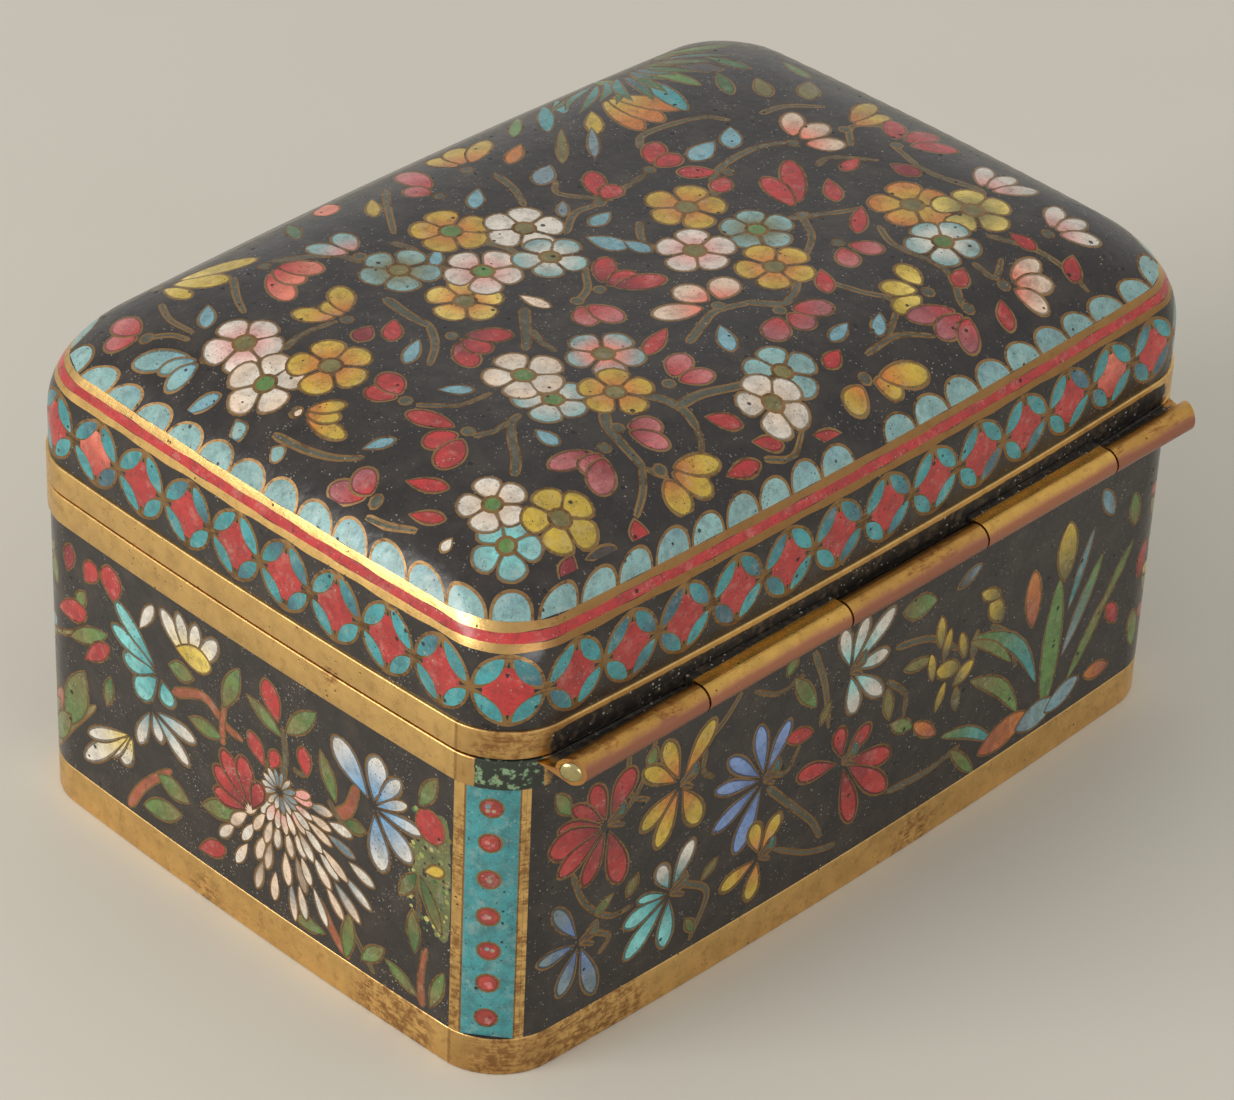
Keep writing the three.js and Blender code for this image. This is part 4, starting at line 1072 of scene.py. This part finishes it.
SIDE_BUDS = (
    (9.5, 21.7, 165, 3.8, 1.9, "red", "red"), (-9.5, 24, 95, 3.8, 1.5, "olive", "yellow"),
    (-11, 19, 160, 3.8, 2.2, "olive", "yellow"), (-13.4, 17.4, 30, 3.4, 1.9, "olive", "yellow"),
    (-17.6, 22.6, 120, 4.0, 2.2, "olive", "yellow"), (-6.5, 21.8, 170, 4.2, 1.5, "olive", "olive"),
    (-16.6, 24.8, 150, 3.6, 1.6, "olive", "yellow"), (-23.3, 21, 95, 7.0, 2.5, "russet", "orange"),
    (-8.6, 20.4, 100, 3.4, 1.2, "olive", "yellow"), (-10.6, 22, 80, 3.6, 1.2, "bark", "yellow"),
    (-13, 20.8, 105, 3.4, 1.3, "olive", "yellow"), (-14.8, 20, 84, 3.2, 1.2, "bark", "olive"),
    (-10.2, 16.2, 70, 3.2, 1.2, "olive", "yellow"), (-12.6, 14.8, 95, 3.0, 1.2, "bark", "olive"),
    (-8.3, 13.4, 140, 4.6, 1.7, "russet", "orange"), (-33, 12, 55, 10.0, 1.7, "green", "olive"),
    (-31.4, 16.4, 62, 11.0, 1.8, "slate", "green"), (-30.6, 21, 70, 8.6, 1.3, "turquoise", "slate"),
    (-36.6, 17, 55, 8.0, 1.4, "olive", "green"), (-28, 24.2, 92, 7.0, 3.1, "olive", "yellow"),
    (-27, 13.5, 88, 16.0, 3.0, "green", "green"), (-20, 15.6, 134, 14.6, 1.9, "turquoise", "green"),
    (-18.6, 12, 136, 11.0, 2.0, "green", "olive"), (-15, 8.8, 150, 9.6, 1.5, "turquoise", "green"),
    (-14.5, 6.4, 130, 6.0, 1.5, "green", "olive"), (-17.4, 17.8, 140, 8.6, 1.2, "green", "olive"),
    (-20.5, 6.6, 10, 7.4, 3.4, "russet", "orange"), (-25.5, 6.2, 5, 6.0, 3.2, "slate", "pale_blue"),
    (-29.6, 6.6, 20, 5.4, 2.6, "sky", "slate"), (-36.6, 12.8, 120, 3.6, 1.9, "wine", "red"),
    (-35, 6.8, 170, 4.2, 2.1, "russet", "orange"), (-34, 27, 120, 4.4, 1.8, "slate", "sky"),
    (-38.6, 24, 100, 4.2, 1.8, "olive", "green"), (-13, 28.6, 20, 3.6, 1.6, "smoke", "slate"),
    (-40.6, 9, 100, 5.0, 2.0, "green", "olive"), (-41, 17, 80, 4.4, 2.0, "wine", "red"),
)


def long_panel(panel, flowers=SIDE_FLOWERS):
    """The panel of the +Y side: fan flowers among curling stems, and a clump of grass."""
    for points, width in SIDE_STEMS:
        panel.stem(points, width, "bark")
    for row in SIDE_LEAVES:
        panel.leaf(*row, "olive")
    for (x, z), tips, tone, tip_tone in flowers:
        panel.fan((x, z), [(tip_x, tip_z, width * 1.2) for tip_x, tip_z, width in tips], tone, tip_tone)
        panel.leaf(x - 1.5, z + 0.6, 62, 2.1, 1.5, "dark_green", "slate_blue")
        for k in range(3):
            panel.stem([(x, z), (x - rng.uniform(1.4, 2.2), z + (k - 1) * 1.1)], 0.55, "smoke")
    for x, z, angle, length, width, tone, tip_tone in SIDE_BUDS:
        # the long blades that lean back bow over
        curl = panel.way * (length - 6) * 0.2 if length > 8 and angle > 100 else 0.0
        panel.bud(x, z, angle, length, width, tone, tip_tone, fat=1.05, curl=curl)


def corner_spray(patch, s, lean):
    """A spray of leaves and buds that carries the pattern round a corner without a strip."""
    stem(patch, [(s, 5), (s + lean, 13), (s - lean, 22), (s, 30)], 0.8, "bark")
    for z, side in ((8, 1), (12, -1), (17, 1), (21, -1), (26, 1)):
        leaf(patch, (s + side * 2.0, z + 1.2), 90 - side * 38, 4.2, 1.7, "green", "olive")
    for z, side, tone in ((10, -1, "red"), (15, -1, "yellow"), (19.4, 1, "sky"), (24.4, -1, "red")):
        bud(patch, (s + side * 2.1, z), 90 - side * 55, 2.8, 1.7, tone)


end_panel(Panel(walls, 0, 1))
long_panel(Panel(walls, QUARTER - 2 * CUT, -1))
end_panel(Panel(walls, -CUT, -1, mirrored=True))
long_panel(Panel(walls, -QUARTER, 1, mirrored=True), SIDE_FLOWERS[:5])
corner_middle = FLAT_END + ARC / 2
for s, lean in ((-CUT - corner_middle, 1.0), (-CUT + corner_middle, -1.0), (-corner_middle - 0.6, 0.8)):
    corner_spray(walls, s, lean)
corner_strip(walls)

# lofted parts: places of their points along the perimeter, even in each span of a quarter
quarter_places = [np.linspace(a, b, count, endpoint=False) for (a, b), count in zip(SPANS, (8, 14, 10))]
quarter_places = np.concatenate([*quarter_places, [QUARTER]])
RING = np.concatenate([(q + 1) * QUARTER - quarter_places[:0:-1] if q % 2 else
                       q * QUARTER + quarter_places[:-1] for q in range(4)])


def tube_faces(rows, count, closed=False):
    """Quads between rows of points, each row being a ring of count points."""
    faces = []
    for row in range(rows if closed else rows - 1):
        low, high = row * count, (row + 1) % rows * count
        faces += [(low + i, low + (i + 1) % count, high + (i + 1) % count, high + i) for i in range(count)]
    return faces


def loft(name, section, material, body, slot, node, radii=None, closed=False):
    """Rings at (inset, height), joined in turn; an open loft is capped at its last ring."""
    radii = radii or [CORNER - inset for inset, _ in section]
    count = len(RING)
    points = [np.column_stack([outline(RING, inset, radius), np.full(count, z)])
              for (inset, z), radius in zip(section, radii)]
    faces = tube_faces(len(section), count, closed)
    if not closed:
        faces.append(tuple((len(section) - 1) * count + i for i in range(count)))
    made = mesh_object(name, np.concatenate(points), faces, [material])
    made.data.set_sharp_from_angle(angle=math.radians(35 if closed else 60))
    fixed(made, body, slot, node)


def quarter_turn(count):
    """Pairs (1 - cos, 1 - sin) along a quarter turn, from (0, 1) to (1, 0)."""
    angles = [k / (count - 1) * math.pi / 2 for k in range(count)]
    return [(1 - math.cos(a), 1 - math.sin(a)) for a in angles]


def rounded_strip(outer, inner, low, high, edge):
    """A strip's section with its outer edges softly rounded."""
    lower = [(outer + edge * rise, low + edge * run) for run, rise in quarter_turn(5)]
    upper = [(outer + edge * run, high - edge * rise) for run, rise in quarter_turn(5)]
    return lower + upper + [(inner, high), (inner, low)]


FOOT_EDGE, RIM_EDGE = 0.22, 0.16
BANDS = (
    ("foot_band", "foot", "box", rounded_strip(0, FOOT_THICK + 0.1, 0, FOOT_TOP, FOOT_EDGE)),
    ("box_rim", "rim", "box", rounded_strip(-RIM_PROUD, WALL, RIM_BOTTOM, SEAM, RIM_EDGE)),
    ("lid_rim", "rim", "lid", rounded_strip(-RIM_PROUD, WALL, LID_BOTTOM, LID_SHELL_BOTTOM, RIM_EDGE)),
)
fixed(joined("box_enamel_cells", walls), "box", "box_enamel", "box_shell")

# the inside of the box has a rounded edge round its floor
hollow = [(WALL, RIM_BOTTOM)]
hollow += [(WALL + FILLET * run, FLOOR + FILLET * rise) for run, rise in quarter_turn(7)]
loft("box_inside", hollow, "counter", "box", "box_enamel", "box_shell")
underside = [(FOOT_THICK, 0.9), (FOOT_THICK + 0.4, 0.35), (FOOT_THICK + 0.9, 0.25)]
loft("box_underside", underside, "counter", "box", "box_enamel", "box_shell")
for node, material, body, section in BANDS:
    loft(node + "_gilt", section, material, body, "gilt_metal", node, closed=True)

fixed(joined("lid_enamel_cells", lid_side, lid_top), "lid", "lid_enamel", "lid_shell")

# the inside of the lid follows its dome, a wall's thickness away
run, rise = dome_shares(np.linspace(0.02, math.pi / 2, 22))
vault = zip(WALL + (DOME_RUN - WALL) * run, DOME_BOTTOM + (DOME_RISE - WALL) * rise)
vault = [(WALL, LID_SHELL_BOTTOM), *vault]
vault_radii = [CORNER - WALL, *(CORNER - WALL + (CROWN_CORNER - CORNER + WALL) * run)]
loft("lid_inside", vault, "counter", "lid", "lid_enamel", "lid_shell", vault_radii)

# the pin, with heads that follow the filed ends of the hinge and cover its bore
PIN_Y, PIN_Z, PIN_RADIUS, HINGE_END, END_SLOPE = 34.8, 35.05, 0.85, 41.2, 0.4
HEAD_RADIUS, HEAD_RISE, HEAD_SEAT, PIN_SIDES = 0.97, 0.42, 0.02, 24


def pin_ring(x, radius, slope):
    angle = np.linspace(0, 2 * math.pi, PIN_SIDES, endpoint=False)
    y, z = PIN_Y + radius * np.cos(angle), PIN_Z + radius * np.sin(angle)
    return np.column_stack([x - slope * radius * np.cos(angle), y, z])


head = [(HINGE_END - 0.6, PIN_RADIUS, 0), (HINGE_END + HEAD_SEAT, PIN_RADIUS, END_SLOPE)]
head += [(HINGE_END + HEAD_SEAT + HEAD_RISE * math.sin(a), HEAD_RADIUS * math.cos(a), END_SLOPE)
         for a in np.linspace(0, 1.4, 7)]
pin_rings = [pin_ring(-x, radius, -slope) for x, radius, slope in head[::-1]]
pin_rings += [pin_ring(*ring) for ring in head]
near_cap, far_cap = range(PIN_SIDES), range((len(pin_rings) - 1) * PIN_SIDES, len(pin_rings) * PIN_SIDES)
pin_faces = [tuple(near_cap)[::-1], *tube_faces(len(pin_rings), PIN_SIDES), tuple(far_cap)]
pin = mesh_object("hinge_pin_headed", np.concatenate(pin_rings), pin_faces, ["pin"])
pin.data.set_sharp_from_angle(angle=math.radians(45))
fixed(pin, "box", "pin_metal", "hinge_pin")

for name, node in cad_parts.items():
    if "knuckle" in name:
        node.data.materials.clear()
        node.data.materials.append(MATERIALS["lid_hinge" if name.startswith("lid") else "hinge"])
        for polygon in node.data.polygons:
            polygon.material_index = 0

# stage, light and camera, in metres
STAGE_REACH = 3.0
stage_mesh = bpy.data.meshes.new("stage_floor")
stage_corners = [(x * STAGE_REACH, y * STAGE_REACH, 0) for x, y in ((-1, -1), (1, -1), (1, 1), (-1, 1))]
stage_mesh.from_pydata(stage_corners, [], [(0, 1, 2, 3)])
stage = bpy.data.objects.new("stage_floor", stage_mesh)
bpy.context.scene.collection.objects.link(stage)
paper = Nodes("stage_paper")
paper_tone = paper.mix(paper.noise(0.02, 3), srgb(208, 203, 190), srgb(212, 207, 195))
stage_mesh.materials.append(paper.finish(paper_tone, 0.75, paper.noise(1.0, 3), 0.01))


def area_light(name, place, target, size, power, colour):
    light = bpy.data.lights.new(name, "AREA")
    light.shape, light.size, light.size_y = "RECTANGLE", size[0], size[1]
    light.energy, light.color = power, colour
    made = bpy.data.objects.new(name, light)
    made.location = place
    made.rotation_euler = (Vector(target) - Vector(place)).to_track_quat("-Z", "Y").to_euler()
    bpy.context.scene.collection.objects.link(made)


area_light("key", (0.76, -0.24, 0.40), (0, 0, 0.02), (0.5, 0.36), 4.4, (1.0, 0.985, 0.96))
area_light("fill", (0.25, 0.8, 0.16), (0, 0.03, 0.0), (0.4, 0.2), 1.15, (0.98, 0.99, 1.0))

WORLD_TONE, WORLD_STRENGTH = (0.9, 0.89, 0.87, 1), 0.72
world = bpy.data.worlds.new("studio")
world.use_nodes = True
world.node_tree.nodes["Background"].inputs["Color"].default_value = WORLD_TONE
world.node_tree.nodes["Background"].inputs["Strength"].default_value = WORLD_STRENGTH
bpy.context.scene.world = world
bpy.context.scene.view_settings.view_transform = "Standard"

# the camera fitted to the photo: its place, the way it looks, and its focal length in the photo's pixels
CAMERA_PLACE = Vector((0.27268, 0.25592, 0.27977))
CAMERA_AIM = Vector((-0.59969, -0.56227, -0.56940)).normalized()
CAMERA_RIGHT = Vector((-0.70270, 0.71044, 0.03854))
SENSOR, FOCAL_PIXELS, PHOTO_WIDTH = 36.0, 4771.3, 1234
right = (CAMERA_RIGHT - CAMERA_AIM * CAMERA_RIGHT.dot(CAMERA_AIM)).normalized()
camera_data = bpy.data.cameras.new("photo_camera")
camera_data.sensor_width, camera_data.lens = SENSOR, SENSOR * FOCAL_PIXELS / PHOTO_WIDTH
camera_data.clip_start, camera_data.clip_end = 0.01, 20
camera = bpy.data.objects.new("photo_camera", camera_data)
rotation = Matrix((right, right.cross(CAMERA_AIM), -CAMERA_AIM)).transposed()
camera.matrix_world = Matrix.Translation(CAMERA_PLACE) @ rotation.to_4x4()
bpy.context.scene.collection.objects.link(camera)
bpy.context.scene.camera = camera
